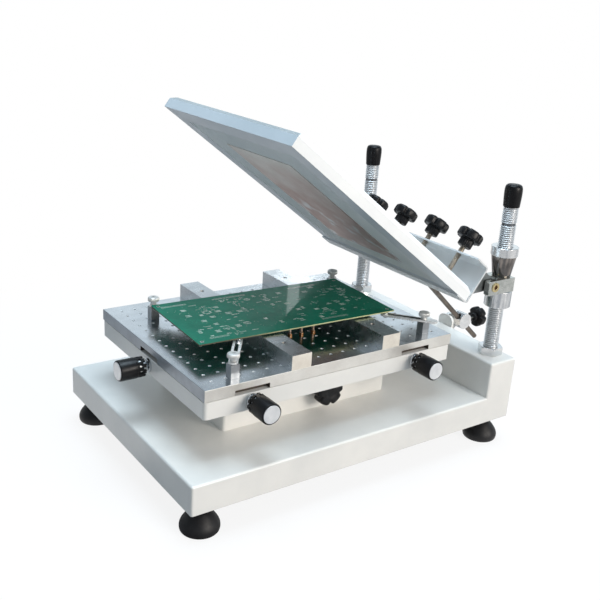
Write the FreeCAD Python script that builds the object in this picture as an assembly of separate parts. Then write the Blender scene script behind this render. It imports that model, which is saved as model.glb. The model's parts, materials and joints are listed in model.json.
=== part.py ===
import FreeCAD, Part
import math
import os

# Manual stencil printer for a bench.
# A sheet steel base carries an adjustable platform, and two threaded posts at its right end
# carry a tilting holder, which clamps a stencil frame over the board on the platform.
# All sizes are in millimetres. While the pieces are made, X runs from the left end to the posts,
# Y from the front to the back and Z up from the underside of the base.

# Base housing
base_length = 540.0
base_depth = 375.0
base_height = 40.0
post_block_length = 52.0
post_block_height = 95.0
sheet_corner_radius = 3.0

# Levelling feet
foot_height = 40.0
foot_radius = 25.5
foot_sole_radius = 17.0
foot_flare_radius = 24.0
foot_flare_height = 5.0
foot_bulge_height = 11.0
foot_crown_radius = 21.5
foot_crown_height = 21.0
foot_shoulder_radius = 13.0
foot_stem_height = 12.0
foot_stem_radius = 6.0
foot_inset_x = 26.5
foot_inset_y = 26.5

# Pedestal and table
pedestal_inset_left = 98.0
pedestal_length = 272.0
pedestal_inset_front = 98.0
pedestal_height = 60.0
pedestal_corner_radius = 4.0
table_length = 400.0
table_depth = 300.0
table_height = 23.0
table_inset_left = 35.0
table_wall = 8.0
table_floor = 6.0
table_corner_radius = 5.0

# Sliding pieces inside the table
slide_clearance = 0.3
slide_travel = 5.0
slide_side_gap = 4.0
slide_thickness = 7.0
slide_rail_width = 14.0
slide_rail_height = 3.0
slide_rail_offset = 110.0

# Platform plate with its grid of holes
plate_thickness = 16.0
plate_corner_radius = 1.5
hole_pitch = 20.0
hole_radius = 1.8
hole_depth = 6.0
notch_length = 50.0
notch_height = 7.0
notch_depth = 8.0

# Flat sides of the small round pieces, by how large they look
fine_sides = 18
small_sides = 16
tiny_sides = 12
nut_sides = 6
hole_sides = 4
end_steps = 4

# Support bars on the platform
bar_width = 30.0
bar_height = 20.0
bar_offset = 123.5
bar_spacing = 148.0
bar_hole_radius = 3.0
bar_hole_inset = 41.0
bar_hole_depth = 12.0

# Board and what carries it
board_length = 311.0
board_width = 152.5
board_thickness = 1.6
board_turn = -2.4
board_centre_x = 227.3
board_centre_y = 182.6
board_lift = 22.0
board_corner_radius = 2.0
column_width = 12.0
column_height = 17.0
column_stud_radius = 2.4
arm_width = 12.0
arm_thickness = 3.0
arm_slot_width = 5.0
arm_slot_margin = 7.0
arm_bore_clearance = 0.3
seat_gap = 0.3
pin_radius = 2.2
pin_foot_radius = 3.4
pin_nut_height = 2.5
thumb_radius = 8.0
thumb_sides = 18
thumb_height = 6.5
thumb_hub_radius = 4.2
thumb_hub_height = 4.5
board_pin_radius = 2.5
board_pin_foot_radius = 4.0
board_pin_foot_height = 3.0

# Each support arm: its column's place, the way it points in degrees, how far its slot is drawn
# back over the column, and its pin's distance
arm_length = 76.0
arm_places = {
    "front_left": (85.0, 58.0),
    "front_right": (400.0, 60.0),
    "back_left": (84.5, 276.0),
    "back_right": (394.0, 269.0),
}
arm_directions = {"front_left": 54.0, "front_right": 131.0, "back_left": -52.0, "back_right": -117.0}
arm_slides = {"front_left": 0.0, "front_right": 14.0, "back_left": 0.0, "back_right": 0.0}
arm_pins = {"front_left": 69.0, "front_right": 54.5, "back_left": 24.0, "back_right": 40.0}

# Where the brass pins stand between the bars
board_pin_places = ((222.0, 135.0), (239.0, 132.0), (259.0, 132.0))

# Adjusting knobs on the table's edge
knob_inset = 67.0
knob_rise = 12.5
spindle_radius = 4.0
spindle_bore_clearance = 0.3
bush_radius = 9.5
bush_reach = 4.0
crown_start = 9.0
crown_length = 11.0
crown_radius = 13.6
crown_rim = 3.0
crown_notch_count = 10
crown_notch_share = 0.45
crown_notch_depth = 2.5
barrel_radius = 14.0
barrel_length = 24.0
barrel_edge = 1.5
disc_radius = 11.8
disc_thickness = 1.5
disc_proud = 0.6

# Star knobs: half a lobe as shares of its half angle and of the knob's radius, out to the gap
star_lobes = 5
star_half_lobe = ((0.28, 1.0), (0.6, 0.95), (0.82, 0.8), (1.0, 0.75))
star_edge_height = 3.0
star_edge_share = 0.87
clamp_knob_radius = 19.0
clamp_knob_height = 17.0
clamp_hub_radius = 9.5
clamp_hub_height = 8.5
clamp_screw_radius = 4.0
stay_knob_radius = 16.5
stay_knob_height = 13.0
stay_hub_radius = 7.0
stay_hub_height = 4.0

# Star knob that locks the table, on the pedestal, turned by this angle about its screw
table_lock_radius = 21.0
table_lock_height = 18.0
table_lock_turn = 21.0
table_lock_hub_radius = 9.0
table_lock_hub_height = 6.0
table_lock_gap = 4.0
table_lock_place = 252.0
table_lock_rise = 34.0
lock_stud_radius = 4.0
lock_stud_depth = 10.0

# Posts, nuts and caps
post_inset_right = 21.0
post_inset_front = 34.0
post_radius = 11.0
post_top = 346.0
post_seat_depth = 30.0
post_clearance = 0.05
nut_across_flats = 32.0
nut_height = 12.0
cap_height = 32.0
cap_rings = ((11.7, 0.0), (12.2, 9.0), (12.7, 17.0), (12.6, 26.0), (10.6, 32.0))
cap_end_wall = 5.0

# Hinge blocks between their collars
lower_collar_radius = 19.0
lower_collar_height = 25.0
hinge_block_bottom = 196.0
hinge_block_height = 21.0
hinge_block_right = 11.0
hinge_block_body = 28.0
hinge_block_depth = 34.0
hinge_cheek_reach = 13.0
cheek_thickness = 9.0
cheek_edge_radius = 2.0
cone_low_radius = 13.0
cone_high_radius = 18.0
cone_height = 31.0
ring_radius = 19.5
ring_height = 13.0

# Tilt hinge
hinge_offset = 28.0
hinge_height = 207.5
hinge_pin_radius = 5.0
hinge_pin_clearance = 0.08
hinge_pin_proud = 1.0
bush_flange_radius = 7.0
bush_flange_height = 1.5
pin_socket_radius = 2.5
pin_socket_depth = 4.0
ear_thickness = 6.0
ear_radius = 9.0
ear_root_low = 26.0
ear_root_high = 10.0

# Holder channel, tilted by this angle from level
holder_tilt = 36.7
channel_sheet = 2.5
channel_web = 21.3
channel_low = 43.3
channel_high = 17.1
channel_low_flange = 26.0
channel_high_flange = 29.5
channel_bend_radius = 5.0
channel_inset = 28.0
lug_reach = 17.5
lug_drop = 25.7
lug_radius = 7.0
lug_root_half = 12.0
lug_thickness = 5.0

# Stencil frame
frame_length = 392.0
frame_width = 315.0
frame_height = 20.0
frame_tube = 30.0
frame_bevel = 6.0
mesh_thickness = 0.8
mesh_lap = 2.0
mesh_border_ends = 39.0
mesh_border_sides = 50.0
foil_thickness = 0.8

# Clamp screws through the holder's upper flange
clamp_screw_count = 4
clamp_screw_inset = 39.0
clamp_screw_pitch = 69.5
clamp_screw_line = 24.0
clamp_knob_lift = 10.0
clamp_tip_gap = 0.3
clamp_bore_clearance = 0.3

# Stay that holds the tilt
stay_place = 151.0
stay_rod_radius = 4.0
stay_rod_length = 192.0
stay_rod_drop = 42.4
stay_eye_radius = 6.5
stay_eye_thickness = 9.0
stay_pin_radius = 3.0
stay_pin_clearance = 0.08
stay_side_gap = 0.5
stay_clamp_distance = 140.0
stay_clamp_width = 18.0
stay_clamp_radius = 13.0
stay_bore_clearance = 1.7
stay_bore_offset = 1.3
stay_stud_radius = 2.5
stay_stud_start = 11.3
stay_knob_reach = 27.0
journal_radius = 6.0
journal_proud = 2.0
bracket_gap = 0.3
bracket_thickness = 6.0
bracket_bottom = 52.0
bracket_top_rise = 16.0
bracket_arm_top = 104.0
bracket_top_radius = 10.0
bracket_flange_width = 30.0
bracket_flange_thickness = 4.0

# Heights and places worked out from the sizes above
table_right = table_inset_left + table_length
table_front = (base_depth - table_depth) / 2
table_back = table_front + table_depth
table_bottom = base_height + pedestal_height
table_top = table_bottom + table_height
slide_bottom = table_bottom + table_floor + slide_clearance
slide_top = slide_bottom + slide_thickness
plate_bottom = table_top + slide_clearance
plate_top = plate_bottom + plate_thickness
bar_starts = (bar_offset, bar_offset + bar_spacing)
column_top = plate_top + column_height
arm_bottom = column_top + seat_gap
arm_top = arm_bottom + arm_thickness
thumb_bottom = arm_top + seat_gap
stud_top = thumb_bottom + thumb_hub_height + thumb_height
board_bottom = plate_top + board_lift
table_lock_z = base_height + table_lock_rise
knob_z = table_bottom + knob_rise
knob_reach = crown_start + crown_length + barrel_length + disc_proud
post_x = base_length - post_inset_right
post_ys = (post_inset_front, base_depth - post_inset_front)
block_front = post_inset_front - hinge_block_depth / 2
block_top = hinge_block_bottom + hinge_block_height
hinge_x = post_x - hinge_offset
web_x = hinge_x - channel_web
flange_top = hinge_height + channel_high
clamp_screw_x = web_x - clamp_screw_line
clamp_knob_z = flange_top + clamp_knob_lift
frame_x1 = web_x - channel_sheet
frame_x0 = frame_x1 - frame_length
frame_y0 = (base_depth - frame_width) / 2
frame_y1 = frame_y0 + frame_width
frame_z0 = hinge_height - channel_low + channel_sheet
window_length = frame_length - 2 * frame_tube
window_width = frame_width - 2 * frame_tube
foil_length = window_length - 2 * mesh_border_ends
foil_width = window_width - 2 * mesh_border_sides
clamp_screw_front = frame_y0 + clamp_screw_inset
clamp_screw_ys = [clamp_screw_front + clamp_screw_pitch * number for number in range(clamp_screw_count)]

# The stay's pivot on the tilted holder, the way its rod runs and the middle of its clamp
tilt = math.radians(holder_tilt)
lug_level_reach = channel_web - lug_reach
stay_x = hinge_x - lug_level_reach * math.cos(tilt) - lug_drop * math.sin(tilt)
stay_z = hinge_height + lug_level_reach * math.sin(tilt) - lug_drop * math.cos(tilt)
rod_drop = math.radians(stay_rod_drop)
stay_way = FreeCAD.Vector(math.cos(rod_drop), 0, -math.sin(rod_drop))
clamp_x = stay_x + stay_clamp_distance * math.cos(rod_drop) + stay_bore_offset * math.sin(rod_drop)
clamp_z = stay_z - stay_clamp_distance * math.sin(rod_drop) + stay_bore_offset * math.cos(rod_drop)

# The finished part stands on its soles at height zero, under the middle of its outline
stay_end_x = stay_x + stay_rod_length * math.cos(rod_drop) + stay_rod_radius * math.sin(rod_drop)
outline_middle_x = (table_inset_left - knob_reach + stay_end_x) / 2
outline_middle_y = (table_front - knob_reach + base_depth) / 2


def vec(x, y, z):
    return FreeCAD.Vector(x, y, z)


def box(x0, x1, y0, y1, z0, z1):
    return Part.makeBox(x1 - x0, y1 - y0, z1 - z0, vec(x0, y0, z0))


def rod(radius, start, direction, length):
    return Part.makeCylinder(radius, length, start, direction)


def ring(radius, sides, height):
    # The corners of a regular outline
    corners = []
    for side in range(sides):
        angle = 2 * math.pi * side / sides
        corners.append(vec(radius * math.cos(angle), radius * math.sin(angle), height))
    return corners


def outlined(corners):
    return Part.Face(Part.makePolygon(corners + [corners[0]]))


def prism(radius, sides, low, high):
    return outlined(ring(radius, sides, low)).extrude(vec(0, 0, high - low))


def skinned(rings):
    # A solid with flat faces through outlines that have the same number of corners
    faces = [outlined(rings[0]), outlined(rings[-1])]
    for lower, upper in zip(rings, rings[1:]):
        for corner in range(len(lower)):
            before = corner - 1
            faces.append(outlined([lower[before], lower[corner], upper[corner], upper[before]]))
    shell = Part.Shell(faces)
    shell.sewShape()
    solid = Part.Solid(shell)
    if solid.Volume < 0:
        solid.reverse()
    return solid


def clear_of(radius, sides):
    # The corner radius that keeps flat sides outside this radius
    return radius / math.cos(math.pi / sides)


def stadium(start, end, half, low, high):
    # A bar with rounded ends along X
    corners = []
    for centre, first in ((end, -90.0), (start, 90.0)):
        for step in range(end_steps + 1):
            angle = math.radians(first + 180.0 * step / end_steps)
            corners.append(vec(centre + half * math.cos(angle), half * math.sin(angle), low))
    return outlined(corners).extrude(vec(0, 0, high - low))


def side_plate(points, y0, y1):
    # A closed outline of X and Z, as thick as the stretch from y0 to y1
    return outlined([vec(x, y0, z) for x, z in points]).extrude(vec(0, y1 - y0, 0))


def rounded(solid, radius, wanted):
    # Rounds the straight edges whose middle the test accepts
    edges = []
    for edge in solid.Edges:
        if wanted(edge.CenterOfMass, edge):
            edges.append(edge)
    return solid.makeFillet(radius, edges)


def upright(edge):
    first, last = edge.Vertexes[0].Point, edge.Vertexes[-1].Point
    return abs(first.x - last.x) < 0.001 and abs(first.y - last.y) < 0.001


def mirrored(solid):
    # The twin at the back, across the middle of the base
    return solid.mirror(vec(0, base_depth / 2, 0), vec(0, 1, 0))


def pair(solid):
    return Part.makeCompound([solid, mirrored(solid)])


def star_outline(radius, height):
    corners = []
    half_angle = math.pi / star_lobes
    falling = [(-share, reach) for share, reach in reversed(star_half_lobe[:-1])]
    for lobe in range(star_lobes):
        for share, reach in falling + list(star_half_lobe):
            angle = half_angle * (2 * lobe + share)
            corners.append(vec(reach * radius * math.cos(angle), reach * radius * math.sin(angle), height))
    return corners


def star_knob(radius, height, hub_radius, hub_height):
    # A lobed grip with a sloped top edge, on a round hub that stands on height zero
    top = hub_height + height
    grip = skinned([
        star_outline(radius, hub_height),
        star_outline(radius, top - star_edge_height),
        star_outline(radius * star_edge_share, top),
    ])
    hub = prism(hub_radius, small_sides, 0, hub_height + height / 2)
    return grip.fuse(hub).removeSplitter()


def base_housing():
    outline = (
        (0, 0),
        (base_length, 0),
        (base_length, post_block_height),
        (base_length - post_block_length, post_block_height),
        (base_length - post_block_length, base_height),
        (0, base_height),
    )
    shell = side_plate(outline, 0, base_depth)
    inner_x = base_length - post_block_length
    shell = rounded(shell, sheet_corner_radius, lambda middle, edge: middle.z > 0.001 and not (
        abs(middle.x - inner_x) < 0.001 and abs(middle.z - base_height) < 0.001))
    seat_bottom = post_block_height - post_seat_depth
    for y in post_ys:
        seat = rod(post_radius + post_clearance, vec(post_x, y, seat_bottom), vec(0, 0, 1), post_seat_depth)
        shell = shell.cut(seat)
    return shell


def levelling_feet():
    # A domed sole on a short stem
    profile = (
        (foot_sole_radius, 0),
        (foot_flare_radius, foot_flare_height),
        (foot_radius, foot_bulge_height),
        (foot_crown_radius, foot_crown_height),
        (foot_shoulder_radius, foot_height - foot_stem_height),
    )
    dome = skinned([ring(radius, fine_sides, height) for radius, height in profile])
    stem = prism(foot_stem_radius, tiny_sides, foot_height / 2, foot_height)
    pattern = dome.fuse(stem).removeSplitter()
    feet = []
    for x in (foot_inset_x, base_length - foot_inset_x):
        for y in (foot_inset_y, base_depth - foot_inset_y):
            foot = pattern.copy()
            foot.translate(vec(x, y, -foot_height))
            feet.append(foot)
    return Part.makeCompound(feet)


def pedestal():
    body = box(
        pedestal_inset_left, pedestal_inset_left + pedestal_length,
        pedestal_inset_front, base_depth - pedestal_inset_front,
        base_height, table_bottom)
    body = rounded(body, pedestal_corner_radius, lambda middle, edge: upright(edge))
    reach = clear_of(lock_stud_radius + spindle_bore_clearance, tiny_sides)
    stud_hole = prism(reach, tiny_sides, 0, lock_stud_depth)
    return body.cut(aimed(stud_hole, vec(table_lock_place, pedestal_inset_front, table_lock_z), vec(0, 1, 0)))


def spindle_places():
    # Where each adjusting spindle meets the table's edge, and the way it points
    left = (vec(table_inset_left, base_depth / 2, knob_z), vec(-1, 0, 0))
    front_left = (vec(table_inset_left + knob_inset, table_front, knob_z), vec(0, -1, 0))
    front_right = (vec(table_right - knob_inset, table_front, knob_z), vec(0, -1, 0))
    return {"left": left, "front_left": front_left, "front_right": front_right}


def table_tray():
    tray = box(table_inset_left, table_right, table_front, table_back, table_bottom, table_top)
    tray = rounded(tray, table_corner_radius, lambda middle, edge: upright(edge))
    tray = tray.cut(box(
        table_inset_left + table_wall, table_right - table_wall,
        table_front + table_wall, table_back - table_wall,
        table_bottom + table_floor, table_top))
    bore = prism(clear_of(spindle_radius + spindle_bore_clearance, tiny_sides), tiny_sides, -table_wall, 0)
    for place, way in spindle_places().values():
        tray = tray.cut(aimed(bore, place, way))
    return tray


def slide_rails(clearance):
    # Two rails along Y between the cross slide and the carrier
    rails = []
    middle = table_inset_left + table_length / 2
    half = slide_rail_width / 2 + clearance
    for side in (-1, 1):
        x = middle + side * slide_rail_offset
        rails.append(box(
            x - half, x + half, table_front + table_wall + slide_clearance,
            table_back - table_wall - slide_clearance, slide_top, slide_top + slide_rail_height + clearance))
    return rails


def cross_slide():
    reach = slide_travel + slide_side_gap
    plate = box(
        table_inset_left + table_wall + reach, table_right - table_wall - reach,
        table_front + table_wall + slide_clearance, table_back - table_wall - slide_clearance,
        slide_bottom, slide_top)
    return plate.multiFuse(slide_rails(0)).removeSplitter()


def platform_carrier():
    reach_x = slide_travel + 2 * slide_side_gap
    reach_y = slide_travel + slide_side_gap
    block = box(
        table_inset_left + table_wall + reach_x, table_right - table_wall - reach_x,
        table_front + table_wall + reach_y, table_back - table_wall - reach_y,
        slide_top + slide_clearance, plate_bottom)
    for rail in slide_rails(slide_clearance):
        block = block.cut(rail)
    return block


def platform_plate():
    plate = box(table_inset_left, table_right, table_front, table_back, plate_bottom, plate_top)
    plate = rounded(plate, plate_corner_radius, lambda middle, edge: upright(edge))
    half = notch_length / 2
    for place, way in spindle_places().values():
        if way.x < 0:
            cutter = box(
                table_inset_left, table_inset_left + notch_depth,
                place.y - half, place.y + half, plate_bottom, plate_bottom + notch_height)
        else:
            cutter = box(
                place.x - half, place.x + half,
                table_front, table_front + notch_depth, plate_bottom, plate_bottom + notch_height)
        plate = plate.cut(cutter)
    return plate.cut(Part.makeCompound(platform_holes()))


def platform_holes():
    # The grid keeps clear of the bars that lie on it, and its four corner holes are round
    holes = []
    columns = round(table_length / hole_pitch)
    rows = round(table_depth / hole_pitch)
    for column in range(1, columns):
        offset = hole_pitch * column
        reach = bar_width / 2 + hole_radius
        under_bar = any(abs(offset - start - bar_width / 2) < reach for start in bar_starts)
        if under_bar:
            continue
        for row in range(1, rows):
            place = vec(table_inset_left + offset, table_front + hole_pitch * row, plate_top - hole_depth)
            if column in (1, columns - 1) and row in (1, rows - 1):
                holes.append(rod(hole_radius, place, vec(0, 0, 1), hole_depth))
            else:
                hole = prism(hole_radius, hole_sides, 0, hole_depth)
                hole.translate(place)
                holes.append(hole)
    return holes


def support_bars():
    bars = []
    for start in bar_starts:
        x = table_inset_left + start
        bar = box(x, x + bar_width, table_front, table_back, plate_top, plate_top + bar_height)
        for y in (table_front + bar_hole_inset, table_back - bar_hole_inset):
            hole_bottom = vec(x + bar_width / 2, y, plate_top + bar_height - bar_hole_depth)
            bar = bar.cut(rod(bar_hole_radius, hole_bottom, vec(0, 0, 1), bar_hole_depth))
        bars.append(bar)
    return Part.makeCompound(bars)


def support_columns():
    columns = []
    half = column_width / 2
    for x, y in arm_places.values():
        column = box(x - half, x + half, y - half, y + half, plate_top, plate_top + column_height)
        stud = prism(column_stud_radius, tiny_sides, plate_top, stud_top)
        stud.translate(vec(x, y, 0))
        columns.append(column.fuse(stud).removeSplitter())
    return Part.makeCompound(columns)


def support_arm(name):
    # A slotted arm that turns on its column, with a stepped pin in the slot
    x, y = arm_places[name]
    pin = arm_pins[name]
    half = arm_width / 2
    low = arm_bottom
    top = low + arm_thickness
    slide = arm_slides[name]
    far_end = arm_length - half - slide
    blade = stadium(-slide, far_end, half, low, top)
    slot = stadium(half + arm_slot_margin - slide, far_end, arm_slot_width / 2, low, top)
    bore = prism(clear_of(column_stud_radius + arm_bore_clearance, tiny_sides), tiny_sides, low, top)
    stem = prism(pin_radius, tiny_sides, low - pin_nut_height, top)
    head = prism(pin_foot_radius, tiny_sides, top, board_bottom - seat_gap)
    nut = prism(pin_foot_radius, nut_sides, low - pin_nut_height, low)
    stepped = stem.multiFuse([head, nut]).removeSplitter()
    stepped.translate(vec(pin, 0, 0))
    arm = blade.cut(slot).cut(bore).fuse(stepped).removeSplitter()
    arm.rotate(vec(0, 0, 0), vec(0, 0, 1), arm_directions[name])
    arm.translate(vec(x, y, 0))
    return arm


def thumb_screws():
    screws = []
    low = thumb_bottom
    shoulder = low + thumb_hub_height
    hub = prism(thumb_hub_radius, tiny_sides, low, shoulder)
    head = prism(thumb_radius, thumb_sides, shoulder, shoulder + thumb_height)
    stud = prism(column_stud_radius, tiny_sides, low, shoulder + thumb_height)
    pattern = hub.fuse(head).cut(stud)
    for x, y in arm_places.values():
        screw = pattern.copy()
        screw.translate(vec(x, y, 0))
        screws.append(screw)
    return Part.makeCompound(screws)


def board_pins():
    pins = []
    for x, y in board_pin_places:
        foot = prism(board_pin_foot_radius, nut_sides, plate_top, plate_top + board_pin_foot_height)
        stem = prism(board_pin_radius, tiny_sides, plate_top, board_bottom - seat_gap)
        pin = foot.fuse(stem).removeSplitter()
        pin.translate(vec(x, y, 0))
        pins.append(pin)
    return Part.makeCompound(pins)


def circuit_board():
    board = box(
        -board_length / 2, board_length / 2, -board_width / 2, board_width / 2,
        board_bottom, board_bottom + board_thickness)
    board = rounded(board, board_corner_radius, lambda middle, edge: upright(edge))
    board.rotate(vec(0, 0, 0), vec(0, 0, 1), board_turn)
    board.translate(vec(board_centre_x, board_centre_y, 0))
    return board


def aimed(solid, place, way):
    # Takes a piece that stands on height zero to a place on the table's edge
    turn = FreeCAD.Rotation(vec(0, 0, 1), way)
    moved = solid.copy()
    moved.Placement = FreeCAD.Placement(place, turn)
    return moved


def spindle_bushes():
    bush = prism(bush_radius, nut_sides, 0, bush_reach)
    bore = prism(clear_of(spindle_radius + spindle_bore_clearance, tiny_sides), tiny_sides, 0, bush_reach)
    bush = bush.cut(bore)
    return Part.makeCompound([aimed(bush, place, way) for place, way in spindle_places().values()])


def adjust_spindle(name):
    # Turns in the table's edge and carries the light disc on the knob's front
    place, way = spindle_places()[name]
    front = knob_reach
    stem = prism(spindle_radius, tiny_sides, -table_wall, front)
    disc = prism(disc_radius, fine_sides, front - disc_thickness, front)
    return aimed(stem.fuse(disc).removeSplitter(), place, way)


def crown_outline(height):
    # Teeth and notches by turns round the knob's crown
    corners = []
    step = 2 * math.pi / crown_notch_count
    floor_radius = crown_radius - crown_notch_depth
    tooth_share = 1 - crown_notch_share
    outline = ((0, crown_radius), (tooth_share, crown_radius), (tooth_share, floor_radius), (1, floor_radius))
    for tooth in range(crown_notch_count):
        for share, reach in outline:
            angle = step * (tooth + share)
            corners.append(vec(reach * math.cos(angle), reach * math.sin(angle), height))
    return corners


def adjust_knob(name):
    # A notched crown behind a plain barrel, hollow for its spindle and disc
    place, way = spindle_places()[name]
    teeth_end = crown_start + crown_length - crown_rim
    barrel_start = crown_start + crown_length
    front = barrel_start + barrel_length
    teeth = outlined(crown_outline(crown_start)).extrude(vec(0, 0, teeth_end - crown_start))
    rim = prism(crown_radius, fine_sides, teeth_end, barrel_start)
    barrel = skinned([
        ring(barrel_radius, fine_sides, barrel_start),
        ring(barrel_radius, fine_sides, front - barrel_edge),
        ring(barrel_radius - barrel_edge, fine_sides, front),
    ])
    knob = teeth.multiFuse([rim, barrel]).removeSplitter()
    knob = knob.cut(prism(spindle_radius, tiny_sides, crown_start, front))
    knob = knob.cut(prism(disc_radius, fine_sides, front + disc_proud - disc_thickness, front))
    return aimed(knob, place, way)


def table_lock_knob():
    # A star knob with a stud into the pedestal
    knob = star_knob(table_lock_radius, table_lock_height, table_lock_hub_radius, table_lock_hub_height)
    knob.rotate(vec(0, 0, 0), vec(0, 0, 1), table_lock_turn)
    stud = prism(lock_stud_radius, tiny_sides, -table_lock_gap - lock_stud_depth, table_lock_hub_height)
    knob = knob.fuse(stud).removeSplitter()
    place = vec(table_lock_place, pedestal_inset_front - table_lock_gap, table_lock_z)
    return aimed(knob, place, vec(0, -1, 0))


def hinge_posts():
    low = post_block_height - post_seat_depth
    return pair(rod(post_radius, vec(post_x, post_inset_front, low), vec(0, 0, 1), post_top - low))


def post_nuts():
    nut = prism(clear_of(nut_across_flats / 2, nut_sides), nut_sides, 0, nut_height)
    nut = nut.cut(rod(post_radius + post_clearance, vec(0, 0, 0), vec(0, 0, 1), nut_height))
    nut.translate(vec(post_x, post_inset_front, post_block_height))
    return pair(nut)


def post_caps():
    # Rubber caps that swell towards their closed tops
    cap = skinned([ring(radius, fine_sides, height) for radius, height in cap_rings])
    cap = cap.cut(rod(post_radius + post_clearance, vec(0, 0, 0), vec(0, 0, 1), cap_height - cap_end_wall))
    cap.translate(vec(post_x, post_inset_front, post_top + cap_end_wall - cap_height))
    return pair(cap)


def post_bore(low, high):
    # Flat-sided room for the round post
    return prism(clear_of(post_radius + post_clearance, fine_sides), fine_sides, low, high)


def lower_collars():
    low = hinge_block_bottom - lower_collar_height
    collar = prism(lower_collar_radius, fine_sides, low, hinge_block_bottom)
    collar = collar.cut(post_bore(low, hinge_block_bottom))
    collar.translate(vec(post_x, post_inset_front, 0))
    return pair(collar)


def upper_collars():
    # A cone that widens upwards into a ring
    shoulder = block_top + cone_height
    high = shoulder + ring_height
    cone = skinned([ring(cone_low_radius, fine_sides, block_top), ring(cone_high_radius, fine_sides, shoulder)])
    collar = cone.fuse(prism(ring_radius, fine_sides, shoulder, high)).cut(post_bore(block_top, high))
    collar.translate(vec(post_x, post_inset_front, 0))
    return pair(collar)


def hinge_blocks():
    # Each block grips its post and reaches a cheek out to the hinge pin
    right = post_x + hinge_block_right
    cheek_left = hinge_x - hinge_cheek_reach
    body = box(
        right - hinge_block_body, right,
        block_front, block_front + hinge_block_depth, hinge_block_bottom, block_top)
    cheek = box(
        cheek_left, right, block_front, block_front + cheek_thickness, hinge_block_bottom, block_top)
    block = body.fuse(cheek).removeSplitter()
    block = rounded(block, cheek_edge_radius, lambda middle, edge: (
        abs(middle.x - cheek_left) < 0.001 and not upright(edge)))
    bore = post_bore(hinge_block_bottom, block_top)
    bore.translate(vec(post_x, post_inset_front, 0))
    pin_reach = clear_of(hinge_pin_radius + post_clearance, small_sides)
    pin_bore = prism(pin_reach, small_sides, 0, cheek_thickness)
    pin_bore = aimed(pin_bore, vec(hinge_x, block_front, hinge_height), vec(0, 1, 0))
    return pair(block.cut(bore).cut(pin_bore))


def hinge_pins():
    # A pin from each block's face into the holder's ear, with a six sided socket
    reach = channel_inset + ear_thickness + hinge_pin_proud - block_front
    pin = prism(hinge_pin_radius, small_sides, -bush_flange_height, reach)
    flange = prism(bush_flange_radius, small_sides, -bush_flange_height, 0)
    socket = prism(pin_socket_radius, nut_sides, -bush_flange_height, pin_socket_depth - bush_flange_height)
    pin = pin.fuse(flange).removeSplitter().cut(socket)
    return pair(aimed(pin, vec(hinge_x, block_front, hinge_height), vec(0, 1, 0)))


def tilted(solid):
    # From the level holder to its resting tilt
    moved = solid.copy()
    moved.rotate(vec(hinge_x, 0, hinge_height), vec(0, 1, 0), holder_tilt)
    return moved


def clamp_channel():
    # A folded channel with two hinge ears and a forked lug for the stay
    web = web_x
    low = hinge_height - channel_low
    high = flange_top
    sheet = channel_sheet
    outline = (
        (web, low),
        (web, high),
        (web - channel_high_flange, high),
        (web - channel_high_flange, high - sheet),
        (web - sheet, high - sheet),
        (web - sheet, low + sheet),
        (web - channel_low_flange, low + sheet),
        (web - channel_low_flange, low),
    )
    channel = side_plate(outline, channel_inset, base_depth - channel_inset)
    channel = rounded(channel, channel_bend_radius, lambda middle, edge: (
        abs(middle.x - web) < 0.001 and abs(middle.y - base_depth / 2) < 0.001))
    channel = rounded(channel, channel_bend_radius - sheet, lambda middle, edge: (
        abs(middle.x - web + sheet) < 0.001 and abs(middle.y - base_depth / 2) < 0.001
        and middle.z > hinge_height))
    reach = clear_of(clamp_screw_radius + clamp_bore_clearance, tiny_sides)
    for y in clamp_screw_ys:
        bore = prism(reach, tiny_sides, high - sheet, high)
        bore.translate(vec(clamp_screw_x, y, 0))
        channel = channel.cut(bore)
    ear = side_plate(
        ((web, hinge_height - ear_root_low), (web, hinge_height + ear_root_high),
         (hinge_x, hinge_height + ear_radius), (hinge_x, hinge_height - ear_radius)),
        channel_inset, channel_inset + ear_thickness)
    ear_place = vec(hinge_x, channel_inset, hinge_height)
    across = vec(0, 1, 0)
    pin_reach = clear_of(hinge_pin_radius + hinge_pin_clearance, small_sides)
    ear = ear.fuse(aimed(prism(ear_radius, small_sides, 0, ear_thickness), ear_place, across))
    ear = ear.cut(aimed(prism(pin_reach, small_sides, 0, ear_thickness), ear_place, across))
    pieces = [ear, mirrored(ear)]
    lug_x = web + lug_reach
    lug_z = hinge_height - lug_drop
    inner = stay_eye_thickness / 2 + stay_side_gap
    for side in (-1, 1):
        y0 = stay_place + side * inner
        y1 = y0 + side * lug_thickness
        start, end = min(y0, y1), max(y0, y1)
        cheek = side_plate(
            ((web, lug_z - lug_root_half), (web, lug_z + lug_root_half),
             (lug_x, lug_z + lug_radius), (lug_x, lug_z - lug_radius)), start, end)
        round_end = prism(lug_radius, tiny_sides, 0, end - start)
        pieces.append(cheek.fuse(aimed(round_end, vec(lug_x, start, lug_z), across)))
    pin = prism(stay_pin_radius, tiny_sides, -inner, inner)
    pieces.append(aimed(pin, vec(lug_x, stay_place, lug_z), across))
    return tilted(channel.multiFuse(pieces).removeSplitter())


def stencil_frame():
    # A square tube frame with its upper outer edge bevelled
    tube = box(frame_x0, frame_x1, frame_y0, frame_y1, frame_z0, frame_z0 + frame_height)
    edges = []
    for edge in tube.Edges:
        middle = edge.CenterOfMass
        if abs(middle.z - frame_z0 - frame_height) < 0.001:
            edges.append(edge)
    tube = tube.makeChamfer(frame_bevel, edges)
    window = box(
        frame_x0 + frame_tube, frame_x1 - frame_tube, frame_y0 + frame_tube, frame_y1 - frame_tube,
        frame_z0, frame_z0 + frame_height)
    return tilted(tube.cut(window))


def centred_sheet(length, width, low, thickness):
    x = (frame_x0 + frame_x1) / 2
    y = (frame_y0 + frame_y1) / 2
    return box(x - length / 2, x + length / 2, y - width / 2, y + width / 2, low, low + thickness)


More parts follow.
